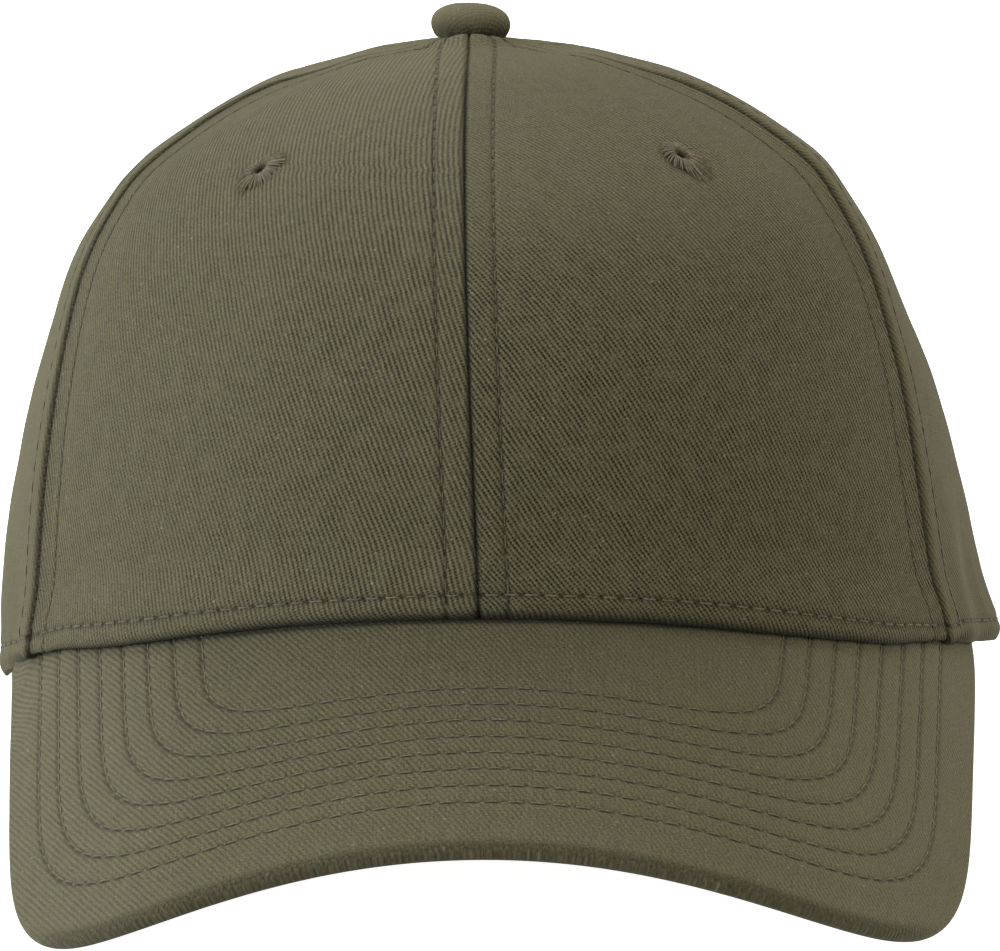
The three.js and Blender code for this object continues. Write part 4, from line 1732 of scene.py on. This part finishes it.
        # Weave clarity; a fainter weave is lighter, which paints light on the peak's right.
        clear = 1.05 - 0.3 * ramp(forward, 35, 15) * fade(np.abs(across), 35, 25) - 0.4 * folded
        clear = clear * (1 - 0.5 * ramp(across, -10, 60))
        # The painted shadows beside the rows show most where the rows run across the peak.
        turned = np.abs(self.rows.number(flat + np.array([0.0, 0.5])) - number) * self.rows.spacing / 0.5
        # Painted sheen on the peak's tips.
        painted_sheen = np.where(across < 0, 0.12, 0.10) * ramp(np.abs(across), 42, 24)
        Bench.mark(piece, "clarity", clear, 0.45 + 0.75 * np.clip(turned, 0, 1), painted_sheen)

    def stitch(self, stock: ThreadStock, wardrobe: dict[str, Material], under: bool) -> None:
        """Sew the rows on the upper or the under face.

        Args:
            stock: the thread to copy.
            wardrobe: the finishes.
            under: whether to sew the under face.
        """
        made, pitch = [], self.rows.pitch
        for row in range(self.rows.count):
            *path, length = self.rows.even(row)
            start = np.arange(np.ceil(length[0] / pitch), np.floor(length[-1] / pitch)) * pitch
            at = start[:, None] + np.linspace(0.06, 0.94, stock.rings + 1) * pitch
            flat = np.stack([np.interp(at, length, side) for side in path], -1)
            relief, normal = self.lift(flat), self.board.normal(flat[..., 0])
            below = self.thickness + relief if under else -relief
            points = self.board.point(flat[..., 0], flat[..., 1], below)
            reach = np.hypot(points[..., 0] / CROWN.half_width, points[..., 1] / CROWN.front_reach).min(1)
            made.append((points[reach > 0.985], (-normal if under else normal)[reach > 0.985]))
        paths, normals = (np.concatenate(both) for both in zip(*made))
        lift = 0.09 - 0.32 * np.abs(np.linspace(-1, 1, paths.shape[1])) ** 4
        sizes = np.random.default_rng(5 if under else 4).uniform(0.13, 0.16, len(paths))
        name = f"peak_stitching_{'under' if under else 'top'}"
        piece = stock.lay(name, paths + normals * lift[None, :, None], normals, sizes)
        dress(piece, wardrobe["row_thread"])


# Button


@dataclass(frozen=True)
class TopButton:
    """Covered button on the top of the crown, gathered underneath."""

    profile: tuple[tuple[float, float], ...] = (
        (0.0, 6.2), (1.5, 6.17), (3.0, 6.0), (4.3, 5.65), (5.4, 5.1), (6.15, 4.45), (6.6, 3.75), (6.8, 3.05),
        (6.78, 2.4), (6.6, 1.75), (6.35, 1.2), (6.1, 0.7), (5.8, 0.3), (4.6, -0.15), (1.4, -0.15), (1.4, -2.4),
        (4.4, -2.4), (4.4, -3.0), (4.0, -3.4), (0.0, -3.4),
    )
    cap_end: int = 13
    steps: int = 53
    rounds: int = 96
    gathers: int = 17

    def build(self, wardrobe: dict[str, Material]) -> None:
        """Model the button as a turned skin with gathers at its base.

        Args:
            wardrobe: the finishes.
        """
        at = np.arange(len(self.profile))
        fine = np.concatenate([np.linspace(0, self.cap_end, self.steps), at[self.cap_end + 1:]])
        path = np.stack([np.interp(fine, at, side) for side in np.transpose(self.profile)], -1)
        piece, round_it, over = Bench.grid("top_button_cloth", self.rounds, len(path) - 1)
        step = np.round(over * (len(path) - 1)).astype(int)
        radius, height = path[step].T
        turn = FULL_TURN * round_it
        low = ramp(-height, -3.6, 2.6) * (height > 0.2)
        pleat = 0.16 * np.sin(self.gathers * turn + 1.3 * np.sin(2 * turn)) * low
        sag = 1 + 0.012 * np.sin(2 * turn + 0.6) + 0.008 * np.sin(5 * turn)
        radius = np.where(radius > 0, radius * sag + pleat, 0.0)
        out = CROWN.normal(90.0, 1.0)
        across = unit(np.cross(np.array([0.0, 1.0, 0.0]), out))
        local = np.stack([radius * np.cos(turn), radius * np.sin(turn), height], -1)
        points = CROWN.surface(90.0, 1.0) + local @ np.stack([across, np.cross(out, across), out])
        arc = run_of(path)[step]
        Bench.cloth_map(piece, np.stack([arc * np.cos(turn) - 260, arc * np.sin(turn) - 90], -1))
        # Painted shade at the button's base, darkest on its lower right: a dark band and a clearer, darker weave.
        near = ramp(np.cos(turn - 5.4), -0.5, 1.4)
        Bench.mark(piece, "clarity", 0.35 + 1.9 * near * fade(height, 1.5, 3.5), 1.0, 0.0)
        Bench.mark(piece, "hem_and_painted_shade", FAR_ASIDE, 0.0, (0.42 + 0.42 * near) * fade(height, 0.8, 4.4))
        Bench.shape(piece, points)
        Bench.weld(piece, SKIN_WELD)
        Bench.smooth(piece, 70.0)
        dress(piece, wardrobe["button_twill"], "top_button")


# Studio


@dataclass(frozen=True)
class SoftBox:
    """A soft light: place in metres, power, tint, size, and the point that it aims at."""

    name: str
    place: tuple[float, float, float]
    power: float
    tint: Colour = (1.0, 1.0, 1.0)
    size: float = 0.8
    aim: tuple[float, float, float] = (0.0, 0.0, 0.05)

    def build(self) -> None:
        """Hang the light."""
        Bench.clear()
        bpy.ops.object.light_add(type="AREA", location=self.place)
        lamp = bpy.context.object
        lamp.name = self.name
        lamp.data.energy, lamp.data.size, lamp.data.color = self.power, self.size, self.tint
        lamp.rotation_euler = (Vector(self.aim) - Vector(self.place)).to_track_quat("-Z", "Y").to_euler()


@dataclass(frozen=True)
class Studio:
    """Floor, lights and camera. The camera's target and distance are mm of the crown's frame."""

    target: tuple[float, float, float] = (1.4005, 0.0, 30.1057)
    distance: float = 1300.0
    rise: float = 0.1565
    swing: float = 0.0152
    roll: float = -0.0111
    lens: float = 268.92
    sensor: float = 36.0
    near: float = 0.05
    floor_size: float = 12.0
    ambient: float = 0.49
    air: Colour = (1.0, 0.94, 0.835)
    boxes: tuple[SoftBox, ...] = (
        SoftBox("left_front", (-1.255, -0.724, 0.438), 16.5, (0.95, 0.978, 1.11)),
        SoftBox("left", (-1.449, 0.0, 0.438), 3.5, (0.89, 1.0, 1.12)),
        SoftBox("front_fill", (-0.724, -1.255, 0.438), 0.4),
        SoftBox("overhead", (-0.388, 0.0, 1.499), 0.8, (0.92, 1.0, 0.98)),
        SoftBox("right_high", (1.25, -0.45, 0.6), 6.6, (1.0, 0.955, 0.94)),
        SoftBox("left_behind", (-0.53, 0.919, 1.111), 8.6),
        SoftBox("right_behind", (0.53, 0.919, 1.111), 6.1),
    )

    def build(self) -> None:
        """Set up the studio."""
        Bench.clear()
        bpy.ops.mesh.primitive_plane_add(size=self.floor_size, location=(0.0, 0.0, 0.0))
        floor = bpy.context.object
        floor.name = "floor"
        floor.data.materials.append(PaleFloor().material())
        floor.visible_diffuse = False
        for box in self.boxes:
            box.build()
        world = bpy.data.worlds.new("studio_air")
        world.use_nodes = True
        background = world.node_tree.nodes["Background"].inputs
        background["Color"].default_value = (*self.air, 1.0)
        background["Strength"].default_value = self.ambient
        bpy.context.scene.world = world
        bpy.context.scene.view_settings.view_transform = "Standard"
        self._camera()

    def _camera(self) -> None:
        """Aim the camera from the photograph's angle."""
        level = np.cos(self.rise)
        back = np.array([np.sin(self.swing) * level, -np.cos(self.swing) * level, np.sin(self.rise)])
        right = unit(np.cross(-back, [0.0, 0.0, 1.0]))
        up = np.cross(right, -back)
        cosine, sine = np.cos(self.roll), np.sin(self.roll)
        matrix = np.eye(4)
        matrix[:3, :3] = POSE.turn(np.stack([right * cosine + up * sine, up * cosine - right * sine, back])).T
        matrix[:3, 3] = POSE.place(self.target + back * self.distance)
        Bench.clear()
        bpy.ops.object.camera_add()
        camera = bpy.context.object
        camera.name = "photo_camera"
        camera.matrix_world = Matrix(matrix.tolist())
        camera.data.sensor_fit = "HORIZONTAL"
        camera.data.sensor_width = self.sensor
        camera.data.lens = self.lens
        camera.data.clip_start = self.near
        bpy.context.scene.camera = camera


def main() -> None:
    """Build the cap and its studio, and report each piece."""
    logging.basicConfig(level=logging.INFO, format="%(name)s %(message)s")
    Studio().build()
    stock = ThreadStock()
    wardrobe = finishes()
    for panel in PANELS:
        panel.build(wardrobe)
        EYELETS[panel.name].build(stock, wardrobe)
    SewnRow("seam_topstitching", "sewing_thread", 0.14).build(stock, wardrobe, Panel.seam_stitches)
    SewnRow("hem_stitching", "hem_thread", 0.16).build(stock, wardrobe, Panel.hem_stitches)
    peak = Peak()
    peak.build(wardrobe)
    for under in (False, True):
        peak.stitch(stock, wardrobe, under)
    TopButton().build(wardrobe)


if __name__ == "__main__":
    main()
